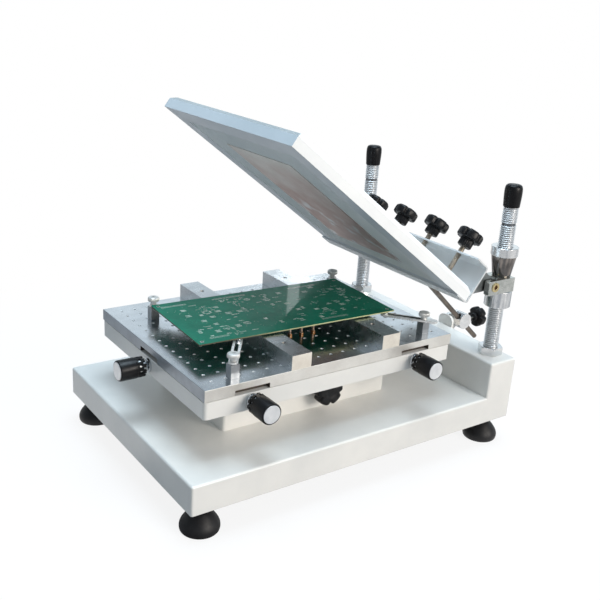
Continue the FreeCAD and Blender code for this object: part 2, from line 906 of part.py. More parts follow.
def stencil_mesh():
    low = frame_z0 + foil_thickness
    mesh = centred_sheet(window_length, window_width, low, mesh_thickness)
    window = centred_sheet(foil_length - 2 * mesh_lap, foil_width - 2 * mesh_lap, low, mesh_thickness)
    return tilted(mesh.cut(window))


def stencil_foil():
    return tilted(centred_sheet(foil_length, foil_width, frame_z0, foil_thickness))


def clamp_screw(y):
    low = frame_z0 + frame_height + clamp_tip_gap
    screw = prism(clamp_screw_radius, tiny_sides, low, clamp_knob_z)
    screw.translate(vec(clamp_screw_x, y, 0))
    return tilted(screw)


def clamp_knob(y):
    knob = star_knob(clamp_knob_radius, clamp_knob_height, clamp_hub_radius, clamp_hub_height)
    knob.translate(vec(clamp_screw_x, y, clamp_knob_z))
    return tilted(knob)


def stay_rod():
    # An eye on the holder's lug and a straight rod down through the clamp
    half = stay_eye_thickness / 2
    pivot = vec(stay_x, stay_place, stay_z)
    across = vec(0, 1, 0)
    eye = aimed(prism(stay_eye_radius, fine_sides, -half, half), pivot, across)
    shaft = aimed(prism(stay_rod_radius, small_sides, 0, stay_rod_length), pivot, stay_way)
    bore = rod(stay_pin_radius + stay_pin_clearance, pivot - across * half, across, stay_eye_thickness)
    return eye.fuse(shaft).removeSplitter().cut(bore)


def stay_clamp():
    # A round barrel across the rod, with a journal through the bracket
    half = stay_clamp_width / 2
    journal_end = half + bracket_thickness + bracket_gap + journal_proud
    barrel = prism(stay_clamp_radius, fine_sides, -half, half)
    journal = prism(journal_radius, tiny_sides, half, journal_end)
    middle = vec(clamp_x, stay_place, clamp_z)
    clamp = aimed(barrel.fuse(journal).removeSplitter(), middle, vec(0, 1, 0))
    reach = clear_of(stay_rod_radius + stay_bore_clearance, small_sides)
    bore = prism(reach, small_sides, -2 * stay_clamp_radius, 2 * stay_clamp_radius)
    stud_hole = prism(stay_stud_radius, tiny_sides, 0, 2 * stay_clamp_radius)
    return clamp.cut(aimed(bore, middle, stay_way)).cut(aimed(stud_hole, middle, vec(1, 0, 0)))


def stay_lock_knob():
    knob = star_knob(stay_knob_radius, stay_knob_height, stay_hub_radius, stay_hub_height)
    stud = prism(stay_stud_radius, tiny_sides, stay_stud_start - stay_knob_reach, stay_hub_height)
    knob = knob.fuse(stud).removeSplitter()
    return aimed(knob, vec(clamp_x + stay_knob_reach, stay_place, clamp_z), vec(1, 0, 0))


def stay_bracket():
    # A round topped flange on the base's right end, with an arm out to the clamp
    front = stay_place + stay_clamp_width / 2 + bracket_gap
    back = front + bracket_thickness
    top = post_block_height + bracket_top_rise
    flange = box(
        base_length, base_length + bracket_flange_thickness,
        back - bracket_flange_width, back, bracket_bottom, top)
    flange = rounded(flange, bracket_top_radius, lambda middle, edge: (
        abs(middle.z - top) < 0.001 and abs(middle.x - base_length - bracket_flange_thickness / 2) < 0.001))
    arm = side_plate(
        ((base_length, bracket_bottom), (base_length, bracket_arm_top),
         (clamp_x, clamp_z + stay_clamp_radius), (clamp_x, clamp_z - stay_clamp_radius)), front, back)
    end = prism(stay_clamp_radius, fine_sides, 0, bracket_thickness)
    hole = prism(clear_of(journal_radius + post_clearance, tiny_sides), tiny_sides, 0, bracket_thickness)
    middle = vec(clamp_x, front, clamp_z)
    toward_back = vec(0, 1, 0)
    bracket = flange.multiFuse([arm, aimed(end, middle, toward_back)]).removeSplitter()
    return bracket.cut(aimed(hole, middle, toward_back))


pieces = {
    "base_housing": base_housing(),
    "levelling_feet": levelling_feet(),
    "pedestal": pedestal(),
    "table_tray": table_tray(),
    "spindle_bushes": spindle_bushes(),
    "table_lock_knob": table_lock_knob(),
    "cross_slide": cross_slide(),
    "platform_carrier": platform_carrier(),
    "platform_plate": platform_plate(),
    "support_bars": support_bars(),
    "support_columns": support_columns(),
    "thumb_screws": thumb_screws(),
    "board_pins": board_pins(),
    "circuit_board": circuit_board(),
    "hinge_posts": hinge_posts(),
    "post_nuts": post_nuts(),
    "post_caps": post_caps(),
    "lower_collars": lower_collars(),
    "upper_collars": upper_collars(),
    "hinge_blocks": hinge_blocks(),
    "hinge_pins": hinge_pins(),
    "clamp_channel": clamp_channel(),
    "stencil_frame": stencil_frame(),
    "stencil_mesh": stencil_mesh(),
    "stencil_foil": stencil_foil(),
    "stay_bracket": stay_bracket(),
    "stay_clamp": stay_clamp(),
    "stay_rod": stay_rod(),
    "stay_lock_knob": stay_lock_knob(),
}
for corner in arm_places:
    pieces["support_arm_" + corner] = support_arm(corner)
for side in spindle_places():
    pieces["adjust_knob_" + side] = adjust_knob(side)
    pieces["adjust_spindle_" + side] = adjust_spindle(side)
for number, screw_y in enumerate(clamp_screw_ys, 1):
    pieces["clamp_knob_%d" % number] = clamp_knob(screw_y)
    pieces["clamp_screw_%d" % number] = clamp_screw(screw_y)

os.makedirs("parts", exist_ok=True)
for node, piece in pieces.items():
    piece.translate(vec(-outline_middle_x, -outline_middle_y, foot_height))
    piece.exportStep("parts/" + node + ".step")
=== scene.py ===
import json
import math
import random
import bpy
from mathutils import Matrix, Vector

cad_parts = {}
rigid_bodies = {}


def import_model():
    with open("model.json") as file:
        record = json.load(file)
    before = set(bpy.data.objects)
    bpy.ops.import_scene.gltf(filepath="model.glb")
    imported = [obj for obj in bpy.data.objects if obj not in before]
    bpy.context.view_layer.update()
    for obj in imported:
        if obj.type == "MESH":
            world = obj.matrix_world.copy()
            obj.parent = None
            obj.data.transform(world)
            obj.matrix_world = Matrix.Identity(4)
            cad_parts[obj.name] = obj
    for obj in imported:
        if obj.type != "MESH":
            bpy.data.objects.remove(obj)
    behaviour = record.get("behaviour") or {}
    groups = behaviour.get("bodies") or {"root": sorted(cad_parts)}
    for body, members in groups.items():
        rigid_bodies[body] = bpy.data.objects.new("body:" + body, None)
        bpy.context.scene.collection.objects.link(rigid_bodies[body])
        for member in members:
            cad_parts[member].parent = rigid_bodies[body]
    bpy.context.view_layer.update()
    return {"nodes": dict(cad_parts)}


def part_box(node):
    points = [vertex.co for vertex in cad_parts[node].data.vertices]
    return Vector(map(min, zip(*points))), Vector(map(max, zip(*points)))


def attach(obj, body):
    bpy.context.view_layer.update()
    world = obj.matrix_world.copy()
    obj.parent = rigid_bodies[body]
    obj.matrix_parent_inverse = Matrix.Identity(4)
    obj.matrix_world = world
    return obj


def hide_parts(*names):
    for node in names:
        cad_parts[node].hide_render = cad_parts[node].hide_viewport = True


for item in list(bpy.data.objects):
    bpy.data.objects.remove(item)
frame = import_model()
scene = bpy.context.scene
nodes_of = frame["nodes"]

# Places and sizes are in millimetres from the base housing's left front lower corner
MM = 0.001
BASE = Matrix.Translation(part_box("base_housing")[0]) @ Matrix.Scale(MM, 4)
BASE_DEPTH = 375.0
FLOOR_Z = -40.0

# The holder is laid out level and then tilted about its hinge
TILT = math.radians(36.7)
HINGE = Vector((491.0, 0.0, 207.5))
HOLDER = BASE @ Matrix.Translation(HINGE) @ Matrix.Rotation(TILT, 4, "Y") @ Matrix.Translation(-HINGE)

# The board's own layout starts at the middle of its top
BOARD_TURN = math.radians(-2.4)
BOARD = BASE @ Matrix.Translation((227.3, 182.6, 162.9)) @ Matrix.Rotation(BOARD_TURN, 4, "Z")


def added(name, data):
    made = bpy.data.objects.new(name, data)
    scene.collection.objects.link(made)
    return made


# Camera
YAW = math.radians(-36.19)
PITCH = math.radians(19.94)
ROLL = math.radians(3.79)
ahead = Vector((-math.sin(YAW) * math.cos(PITCH), math.cos(YAW) * math.cos(PITCH), -math.sin(PITCH)))
level = ahead.cross(Vector((0, 0, 1))).normalized()
upward = level.cross(ahead)
right = level * math.cos(ROLL) + upward * math.sin(ROLL)
above = upward * math.cos(ROLL) - level * math.sin(ROLL)
camera_data = bpy.data.cameras.new("camera")
camera_data.sensor_width = 36.0
camera_data.lens = 51.51
camera = added("camera", camera_data)
turn = Matrix((right, above, -ahead)).transposed().to_4x4()
camera.matrix_world = Matrix.Translation((-0.7197, -0.9393, 0.6296)) @ turn
scene.camera = camera


# Materials
def rgb(*screen):
    # From screen values of 0 to 255 to linear light
    shares = [value / 255 for value in screen]
    return (*(share / 12.92 if share <= 0.04045 else ((share + 0.055) / 1.055) ** 2.4 for share in shares), 1.0)


class Nodes:
    # Short calls for the nodes of a material or the world
    def __init__(self, tree):
        self.tree = tree

    def node(self, kind, inputs=(), **values):
        made = self.tree.nodes.new(kind)
        for key, value in values.items():
            setattr(made, key, value)
        for key, source in dict(inputs).items():
            self.feed(made.inputs[key], source)
        return made

    def feed(self, socket, source):
        # A colour of three numbers is in screen values, and one of four is linear
        if isinstance(source, bpy.types.NodeSocket):
            self.tree.links.new(source, socket)
        elif socket.type == "RGBA" and len(source) == 3:
            socket.default_value = rgb(*source)
        else:
            socket.default_value = source

    def maths(self, operation, first, second=0.0):
        return self.node("ShaderNodeMath", {0: first, 1: second}, operation=operation).outputs[0]

    def ranged(self, value, low, high, to_low=0.0, to_high=1.0):
        return self.node("ShaderNodeMapRange", {
            "Value": value, "From Min": low, "From Max": high, "To Min": to_low, "To Max": to_high,
        }).outputs["Result"]

    def mix(self, factor, first, second):
        return self.node("ShaderNodeMix", {0: factor, 6: first, 7: second}, data_type="RGBA").outputs[2]


class Coat(Nodes):
    # A node material that varies over the surface
    def __init__(self, name, metallic=0.0, specular=0.5, coat=0.0, coat_roughness=0.1):
        self.material = bpy.data.materials.new(name)
        self.material.use_nodes = True
        super().__init__(self.material.node_tree)
        self.shader = self.tree.nodes["Principled BSDF"]
        for key, value in (
            ("Metallic", metallic), ("Specular IOR Level", specular), ("Coat Weight", coat),
            ("Coat Roughness", coat_roughness),
        ):
            self.shader.inputs[key].default_value = value
        self.place = self.node("ShaderNodeTexCoord").outputs["Object"]

    def spread(self, scale=(1, 1, 1), turn=(0, 0, 0)):
        return self.node(
            "ShaderNodeMapping", {"Scale": scale, "Rotation": turn, "Vector": self.place}).outputs["Vector"]

    def noise(self, size, detail=3.0, rough=0.5, where=None):
        # Size is in millimetres
        place = self.place if where is None else where
        return self.node("ShaderNodeTexNoise", {
            "Scale": 1 / (size * MM), "Detail": detail, "Roughness": rough, "Vector": place,
        }).outputs["Fac"]

    def drift(self, low, high, size, detail=3.0, rough=0.5, where=None):
        # Between two values over patches of a size
        return self.ranged(self.noise(size, detail, rough, where), 0.3, 0.7, low, high)

    def x_from(self, start, where=None):
        # Metres along X from a start
        parts = self.node("ShaderNodeSeparateXYZ", {0: self.place if where is None else where})
        return self.maths("SUBTRACT", parts.outputs["X"], start)

    def soft_edges(self, radius):
        return self.node("ShaderNodeBevel", {"Radius": radius * MM}, samples=4).outputs["Normal"]

    def edge_share(self, normal):
        # Near one on sharp edges and zero on flat faces
        gain = 6.0
        flat = self.node("ShaderNodeNewGeometry").outputs["True Normal"]
        dot = self.node("ShaderNodeVectorMath", {0: normal, 1: flat}, operation="DOT_PRODUCT")
        bent = self.maths("SUBTRACT", 1.0, dot.outputs["Value"])
        return self.ranged(self.maths("MULTIPLY", bent, gain), 0.0, 1.0)

    def rubbed(self, normal, size, most):
        # Edges worn unevenly, in patches of a size
        return self.maths("MULTIPLY", self.edge_share(normal), self.ranged(self.noise(size), 0.4, 0.7, 0.1, most))

    def finished(self, colour, roughness, height, depth, soft=None):
        # Depth is in millimetres, and soft is the normal that the edges are shaded with
        bump = self.node("ShaderNodeBump", {"Strength": 1.0, "Distance": depth * MM, "Height": height})
        if soft is not None:
            self.feed(bump.inputs["Normal"], soft)
        for key, source in (("Base Color", colour), ("Roughness", roughness), ("Normal", bump.outputs["Normal"])):
            self.feed(self.shader.inputs[key], source)
        return self.material


def paint(name, light, shade, rough, peel=0.015, edge=0.6, coat_weight=0.2):
    # Powder coat: slow drift of tone, fine orange peel, edges a little paler
    coat = Coat(name, specular=0.45, coat=coat_weight, coat_roughness=0.2)
    base = coat.mix(coat.ranged(coat.noise(90, 4, 0.55), 0.35, 0.65), light, shade)
    base = coat.mix(coat.ranged(coat.noise(2.2, 2), 0.66, 0.76, 0.0, 0.25), base, shade)
    soft = coat.soft_edges(edge)
    base = coat.mix(coat.rubbed(soft, 30, 0.4), base, light)
    return coat.finished(base, coat.drift(rough - 0.06, rough + 0.06, 25, 5, 0.6), coat.noise(1.6, 2, 0.4), peel, soft)


def metal(name, light, shade, rough, streak=(1, 1, 1), depth=0.003, patch=40, grain=1.2, edge=0.3, metallic=1.0):
    # Bare metal with a grain along one way, faint smears and brighter edges
    coat = Coat(name, metallic=metallic)
    lines = coat.ranged(coat.noise(grain, 3, 0.6, coat.spread(streak)), 0.3, 0.7)
    base = coat.mix(coat.ranged(coat.noise(patch, 4, 0.6), 0.35, 0.65), light, shade)
    base = coat.mix(coat.maths("MULTIPLY", lines, 0.35), base, shade)
    soft = coat.soft_edges(edge)
    base = coat.mix(coat.maths("MULTIPLY", coat.edge_share(soft), 0.5), base, (245, 245, 243))
    fine = coat.ranged(lines, 0.0, 1.0, rough - 0.04, rough + 0.05)
    roughness = coat.maths("ADD", coat.drift(-0.05, 0.07, patch * 0.7, 5, 0.6), fine)
    return coat.finished(base, roughness, lines, depth, soft)


def moulded(name, dark, light, rough, grain=0.8, depth=0.03, edge=0.5, specular=0.5):
    # Moulded black plastic or rubber with fine grain and dusty edges
    coat = Coat(name, specular=specular)
    base = coat.mix(coat.ranged(coat.noise(14, 4, 0.6), 0.35, 0.7), dark, light)
    soft = coat.soft_edges(edge)
    base = coat.mix(coat.rubbed(soft, 5, 0.5), base, (74, 74, 76))
    return coat.finished(base, coat.drift(rough - 0.08, rough + 0.08, 6, 4), coat.noise(grain, 2), depth, soft)


def milled(name, light, shade, line):
    # Saw and cutter marks along the plate's edges, duller than its polished top
    coat = Coat(name, metallic=0.72, specular=0.4)
    marks = coat.ranged(coat.noise(1.8, 3, 0.6, coat.spread((1, 1, 14))), 0.3, 0.7)
    base = coat.mix(coat.ranged(coat.noise(40, 4, 0.6), 0.35, 0.65), light, shade)
    base = coat.mix(coat.maths("MULTIPLY", marks, 0.4), base, line)
    return coat.finished(base, coat.drift(0.36, 0.5, 12, 4), marks, 0.006, coat.soft_edges(0.3))


def hole_material():
    # Countersunk holes catch the light on their rough walls
    coat = Coat("hole_walls", metallic=0.35, specular=0.4)
    ringed = coat.ranged(coat.noise(0.7, 2, 0.5, coat.spread((0.3, 0.3, 3))), 0.35, 0.65)
    base = coat.mix(ringed, (236, 238, 238), (206, 210, 211))
    return coat.finished(base, coat.drift(0.42, 0.58, 3), ringed, 0.02)


def board_material():
    # Green lacquer over the faint lines of copper traces
    coat = Coat("board_green", specular=0.03, coat=0.12, coat_roughness=0.04)
    cells = coat.node("ShaderNodeTexVoronoi", {
        "Scale": 210, "Randomness": 0.75, "Vector": coat.spread(turn=(0, 0, -BOARD_TURN)),
    }, feature="DISTANCE_TO_EDGE")
    traces = coat.ranged(cells.outputs["Distance"], 0.05, 0.09, 1.0, 0.0)
    blocks = coat.ranged(coat.noise(24, 2), 0.47, 0.53)
    base = coat.mix(coat.ranged(coat.noise(60, 3), 0.35, 0.65), (0, 114, 90), (0, 98, 76))
    shown = coat.maths("MULTIPLY", coat.maths("MULTIPLY", traces, blocks), 0.5)
    return coat.finished(coat.mix(shown, base, (6, 130, 100)), coat.drift(0.3, 0.44, 8, 4), traces, 0.02)


def board_edge_material():
    # Layers of laminate, darker towards the left
    coat = Coat("board_edge")
    layers = coat.ranged(coat.noise(1.0, 2, 0.5, coat.spread((0.2, 0.2, 3))), 0.35, 0.65)
    pale = coat.mix(layers, (206, 206, 160), (160, 168, 120))
    dark = coat.mix(layers, (92, 84, 60), (58, 60, 46))
    base = coat.mix(coat.ranged(coat.x_from(BOARD.translation.x), -0.12, 0.02), dark, pale)
    return coat.finished(base, coat.drift(0.5, 0.7, 3), coat.noise(0.6), 0.03)


def legend_material():
    # Worn white print
    coat = Coat("board_legend")
    base = coat.mix(coat.ranged(coat.noise(3, 3), 0.4, 0.7), (226, 234, 226), (190, 208, 196))
    return coat.finished(base, coat.drift(0.5, 0.7, 4), coat.noise(0.5), 0.01)


def weave_material():
    # Fine mesh, its threads crossing along the holder
    coat = Coat("mesh_fabric", specular=0.3)
    turned = coat.spread(turn=(0, -TILT, 0))
    threads = [coat.node(
        "ShaderNodeTexWave", {"Scale": 230, "Distortion": 0.4, "Vector": turned}, bands_direction=axis,
    ).outputs["Fac"] for axis in ("X", "Y")]
    height = coat.maths("MAXIMUM", *threads)
    base = coat.mix(coat.ranged(coat.noise(50, 3), 0.35, 0.65), (238, 240, 238), (228, 231, 230))
    base = coat.mix(coat.ranged(height, 0.2, 0.8, 0.25, 0.0), base, (186, 190, 188))
    return coat.finished(base, coat.drift(0.5, 0.65, 10), height, 0.03)


def foil_material():
    # Rolled sheet going from grey to reddish brown along the holder as a painted reflection, with pale patches of
    # painted reflection
    coat = Coat("stencil_steel", metallic=0.55, specular=0.4)
    turned = coat.spread(turn=(0, -TILT, 0))
    start = Matrix.Rotation(-TILT, 4, "Y") @ HOLDER @ Vector((150.0, 0.0, 0.0))
    along = coat.maths("ADD", coat.x_from(start.x, turned), coat.drift(-0.03, 0.03, 70, where=turned))
    base = coat.mix(coat.ranged(along, 0.0, 0.11), (206, 204, 198), (172, 142, 132))
    # Pale patches of painted reflection towards the holder's end
    reflection_patches = coat.ranged(coat.noise(34, 2, 0.5, turned), 0.52, 0.64, 0.0, 0.75)
    base = coat.mix(coat.maths("MULTIPLY", reflection_patches, coat.ranged(along, 0.12, 0.18)), base, (222, 230, 234))
    grain = coat.ranged(coat.noise(2.2, 3, 0.6, coat.spread((1, 9, 1), (0, -TILT, 0))), 0.3, 0.7)
    base = coat.mix(coat.maths("MULTIPLY", grain, 0.25), base, (128, 112, 106))
    return coat.finished(base, coat.drift(0.34, 0.5, 18, 4, 0.6), grain, 0.004)


cream = paint("cream_paint", (228, 226, 221), (217, 216, 212), 0.34, 0.05, 0.8, 0.3)
white = paint("frame_paint", (242, 243, 242), (234, 236, 236), 0.36)
# The frame's underside, lip and end take darker copies of its paint: painted shade
underside_shade_white = paint("frame_underside_shade", (208, 214, 219), (198, 204, 209), 0.4)
lip_shade_white = paint("frame_lip_shade", (144, 154, 158), (136, 146, 150), 0.4)
end_shade_white = paint("frame_end_shade", (208, 217, 223), (200, 210, 216), 0.38)
channel_white = paint("channel_paint", (213, 215, 215), (203, 206, 207), 0.36, edge=0.8)

plate_metal = metal("platform_aluminium", (214, 217, 219), (198, 202, 205), 0.2, (1, 14, 14), 0.0012, grain=2.4)
bar_metal = metal("bar_aluminium", (208, 212, 214), (192, 196, 199), 0.27, (14, 1, 14), 0.002, grain=2.0)
bar_end = metal("bar_end", (232, 226, 214), (216, 208, 196), 0.42, (1, 1, 8), 0.004, 12, metallic=0.3)
column_metal = metal("column_aluminium", (168, 170, 172), (148, 151, 154), 0.4, (2, 2, 8), 0.003, 12)
arm_steel = metal("arm_steel", (238, 238, 236), (220, 220, 218), 0.28, (1, 8, 1), 0.003, 12, metallic=0.7)
# Near black steel for the arms' slot walls: painted shade
slot_shade_steel = metal("slot_shade_steel", (66, 66, 66), (44, 44, 45), 0.45, patch=8, metallic=0.5)
slide_steel = metal("slide_steel", (168, 170, 172), (140, 142, 145), 0.32, (1, 10, 1), 0.004)
chrome = metal("chrome", (218, 220, 222), (196, 199, 203), 0.12, (6, 6, 1), 0.0015, 14, 1.6)
thread_crest = metal(
    "thread_crest", (222, 224, 226), (208, 211, 213), 0.3, depth=0.0005, patch=14, edge=0.1, metallic=0.65)
# The thread's roots and the rod's core are darker than the crests: painted shade in the grooves
thread_root_shade = metal(
    "thread_root_shade", (120, 123, 128), (92, 95, 99), 0.36, depth=0.001, patch=9, edge=0.1, metallic=0.65)
cone_steel = metal("cone_steel", (150, 142, 136), (118, 112, 108), 0.1, (1, 1, 10), 0.003, 12, 1.4)
ear_steel = metal("ear_steel", (150, 152, 152), (122, 125, 125), 0.34, depth=0.004, patch=12)
pale_chrome = metal("pale_chrome", (230, 230, 229), (214, 215, 216), 0.18, (2, 2, 12), 0.003, 12, 1.6)
satin = metal("satin_steel", (228, 228, 225), (204, 204, 201), 0.38, (2, 2, 12), 0.004, 8, 1.4, metallic=0.6)
zinc = metal("zinc_steel", (208, 209, 204), (180, 183, 178), 0.2, (1, 1, 8), 0.003, 9, 1.4)
screw_steel = metal("screw_steel", (184, 172, 156), (146, 134, 118), 0.28, patch=8)
brass = metal("brass", (222, 206, 160), (196, 176, 128), 0.24, (1, 1, 6), 0.003, 8)
copper = metal("pin_copper", (150, 108, 66), (104, 74, 46), 0.34, (1, 1, 5), 0.003, 6)
stay_steel = metal("stay_steel", (132, 122, 112), (98, 90, 84), 0.3, (4, 1, 1), 0.003, 16)
# Dark brown for the discs that close the hinge pins' bores: painted shade
bore_shade_brown = metal("bore_shade_brown", (120, 84, 56), (84, 58, 40), 0.4, patch=4)
disc_metal = metal("disc_aluminium", (232, 233, 234), (216, 218, 220), 0.5, depth=0.004, patch=10)
tin = metal("board_pads", (208, 212, 206), (180, 188, 178), 0.3, depth=0.004, patch=6)

black = moulded("black_plastic", (8, 8, 10), (16, 16, 18), 0.36, specular=0.26)
rubber = moulded("black_rubber", (12, 11, 13), (22, 21, 23), 0.5, 1.4, 0.05, 0.8, 0.35)
cap_rubber = moulded("cap_rubber", (6, 6, 8), (12, 12, 14), 0.34, 1.0, 0.02, 0.8, 0.2)
# Dark brown for the walls inside the plate's notches: painted shade
notch_shade_walls = moulded("notch_shade_walls", (66, 58, 52), (92, 82, 74), 0.6, specular=0.3)
# Near black for the board's holes, drawn as flat discs: painted shade
hole_shade = moulded("board_hole_shade", (24, 30, 26), (44, 46, 40), 0.6)

milled_edge = milled("milled_edge", (236, 234, 228), (220, 217, 211), (182, 177, 170))
# A darker, bluer copy of the milled edge for the plate's left side: painted shade
milled_left_shade = milled("milled_left_shade", (176, 184, 192), (158, 164, 172), (122, 122, 122))
hole_walls = hole_material()
board_green, board_edge = board_material(), board_edge_material()
legend = legend_material()
weave = weave_material()
foil = foil_material()


# Shape makers
def polar(reach, angle, height):
    return (reach * math.cos(angle), reach * math.sin(angle), height)


class Shape:
    def __init__(self):
        self.points, self.faces, self.tints = [], [], []

    def add(self, points, faces, where, tint=0):
        # A tint is the number of a face's material
        first = len(self.points)
        self.points += [where @ Vector(point) for point in points]
        self.faces += [[first + index for index in face] for face in faces]
        self.tints += [tint] * len(faces)

    def skin(self, rings, where, tint=0, closed=False):
        # Quads between rings, with flat ends unless the rings close on themselves
        count = len(rings[0])
        points = [point for ring in rings for point in ring]
        faces = []
        spans = len(rings) if closed else len(rings) - 1
        for span in range(spans):
            low = span * count
            high = ((span + 1) % len(rings)) * count
            for corner in range(count):
                after = (corner + 1) % count
                faces.append((low + corner, low + after, high + after, high + corner))
        if not closed:
            faces.append(tuple(reversed(range(count))))
            faces.append(tuple(range(len(points) - count, len(points))))
        self.add(points, faces, where, tint)

    def lathe(self, profile, where, sides=48, tint=0, closed=False, ribs=0, rib_depth=0.0):
        # A profile of radius and height about the local vertical axis, ribbed where it has a third value
        rings = []
        for radius, height, *ribbed in profile:
            ring = []
            for side in range(sides):
                angle = 2 * math.pi * side / sides
                groove = rib_depth * (0.5 - 0.5 * math.cos(angle * ribs)) if ribbed else 0.0
                ring.append(polar(radius - groove, angle, height))
            rings.append(ring)
        self.skin(rings, where, tint, closed)
        return self

    def thread(self, radius, pitch, depth, low, high, where, sides=32, root_tint=0):
        # One continuous helical ridge
        turns = int((high - low) / pitch)
        ridge = ((0.0, radius), (0.18, radius), (0.5, radius - depth), (0.68, radius - depth))
        root_span = 2
        count = turns * len(ridge)
        points = []
        for index in range(count):
            share, reach = ridge[index % len(ridge)]
            for side in range(sides):
                height = low + pitch * (index // len(ridge) + share + side / sides)
                points.append(polar(reach, 2 * math.pi * side / sides, height))
        crests, roots = [], []
        for index in range(count - 1):
            for side in range(sides):
                # The last side joins the next turn
                after = (side + 1) % sides
                shift = 0 if after else len(ridge)
                if index + 1 + shift >= count:
                    continue
                faces = roots if index % len(ridge) == root_span else crests
                faces.append((
                    index * sides + side, (index + shift) * sides + after,
                    (index + 1 + shift) * sides + after, (index + 1) * sides + side))
        self.add(points, crests + roots, where)
        self.tints[len(self.tints) - len(roots):] = [root_tint] * len(roots)

    def block(self, low, high, where):
        outline = ((low[0], low[1]), (high[0], low[1]), (high[0], high[1]), (low[0], high[1]))
        self.skin([[(x, y, z) for x, y in outline] for z in (low[2], high[2])], where)


def lobe_reach(share):
    # Full and round over the lobe, then down into a rounded groove
    shoulder, groove = 0.58, 0.2
    if share < shoulder:
        return 1.0
    part = (share - shoulder) / (1.0 - shoulder)
    return 1.0 - groove * (0.5 - 0.5 * math.cos(math.pi * min(part, 1.0)))


def lobed(radius, height, inset):
    # The outline of a star grip of five lobes, drawn in by the inset all round
    lobes, steps = 5, 110
    half = math.pi / lobes
    ring = []
    for step in range(steps):
        angle = 2 * math.pi * step / steps
        share = abs(((angle / half + 1) % 2) - 1)
        ring.append(polar(radius * lobe_reach(share) - inset, angle, height))
    return ring


def placed(x, y, z, way=(0, 0, 1), spin=0.0, base=BASE):
    turned = Vector((0, 0, 1)).rotation_difference(Vector(way)).to_matrix().to_4x4()
    return base @ Matrix.Translation((x, y, z)) @ turned @ Matrix.Rotation(math.radians(spin), 4, "Z")


def piece(name, shape, materials, body, replaced=(), crease=38.0):
    mesh = bpy.data.meshes.new(name)
    mesh.from_pydata([tuple(point) for point in shape.points], [], shape.faces)
    if not isinstance(materials, tuple):
        materials = (materials,)
    for material in materials:
        mesh.materials.append(material)
    for face, tint in zip(mesh.polygons, shape.tints):
        face.material_index = tint
    mesh.validate()
    mesh.shade_smooth()
    mesh.set_sharp_from_angle(angle=math.radians(crease))
    made = added(name, mesh)
    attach(made, body)
    if replaced:
        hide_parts(*replaced)
    return made


def star_knob(name, body, node, where, radius, height, hub_radius, hub_height):
    # Ribbed hub below a rounded lobed grip with a shallow dish in its top
    hub = [
        (hub_radius - 1.2, 0.0), (hub_radius - 0.3, 0.6, 1), (hub_radius, 1.6, 1),
        (hub_radius, hub_height - 0.4, 1), (hub_radius - 0.6, hub_height + 1.0),
    ]
    knob = Shape().lathe(hub, where, 96, ribs=24, rib_depth=0.7)
    top = hub_height + height
    rings = [lobed(radius, z, inset) for z, inset in (
        (hub_height, 2.2), (hub_height + 0.5, 0.9), (hub_height + 1.6, 0.15), (hub_height + 3.0, 0.0),
        (top - 4.6, 0.0), (top - 2.9, 0.35), (top - 1.5, 1.2), (top - 0.6, 2.5), (top - 0.15, 4.2), (top, 6.0),
    )]
    steps = len(rings[0])
    for reach, drop in ((0.42, 0.0), (0.38, 0.5), (0.2, 0.8)):
        rings.append([polar(radius * reach, 2 * math.pi * step / steps, top - drop) for step in range(steps)])
    knob.skin(rings, where)
    piece(name, knob, black, body, [node])


def lock_knob(name, where, sizes, stud_radius, stud_low, stud_sides):
    # A star knob on a plain stud
    star_knob(name + "_grip", name, name + "_knob", where, *sizes)
    stud = Shape().lathe([(stud_radius, stud_low), (stud_radius, 1.0)], where, stud_sides)
    piece(name + "_stud", stud, zinc, name, [name + "_knob"])


# Carried-over nodes
def dress(node, *materials, choose=None):
    # Choose gives the number of a face's material
    mesh = nodes_of[node].data
    mesh.materials.clear()
    for material in materials:
        mesh.materials.append(material)
    if choose:
        for face in mesh.polygons:
            face.material_index = choose(face)


def frame_side(face):
    # Seen in the level layout: 1 below, 2 on the sloping lip, 3 at the free end, 0 elsewhere; 1 to 3 are painted shade
    facing = Matrix.Rotation(-TILT, 3, "Y") @ face.normal
    if facing.z < -0.5:
        return 1
    if facing.x < -0.2 and facing.z > 0.2:
        return 2
    return 3 if facing.x < -0.9 else 0


CHANNEL_BACK = 469.9
to_level = HOLDER.inverted()
for node, material in (
    ("base_housing", cream), ("pedestal", cream), ("table_tray", cream), ("stay_bracket", cream),
    ("support_columns", column_metal), ("cross_slide", slide_steel), ("platform_carrier", slide_steel),
    ("hinge_blocks", zinc), ("stay_clamp", pale_chrome), ("stencil_mesh", weave), ("stencil_foil", foil),
):
    dress(node, material)
dress("support_bars", bar_metal, bar_end, choose=lambda face: int(abs(face.normal.y) > 0.9))
dress("stencil_frame", white, underside_shade_white, lip_shade_white, end_shade_white, choose=frame_side)
dress("circuit_board", board_green, board_edge, choose=lambda face: int(abs(face.normal.z) <= 0.5))
dress(
    "clamp_channel", channel_white, ear_steel,
    choose=lambda face: int((to_level @ face.center).x > CHANNEL_BACK))


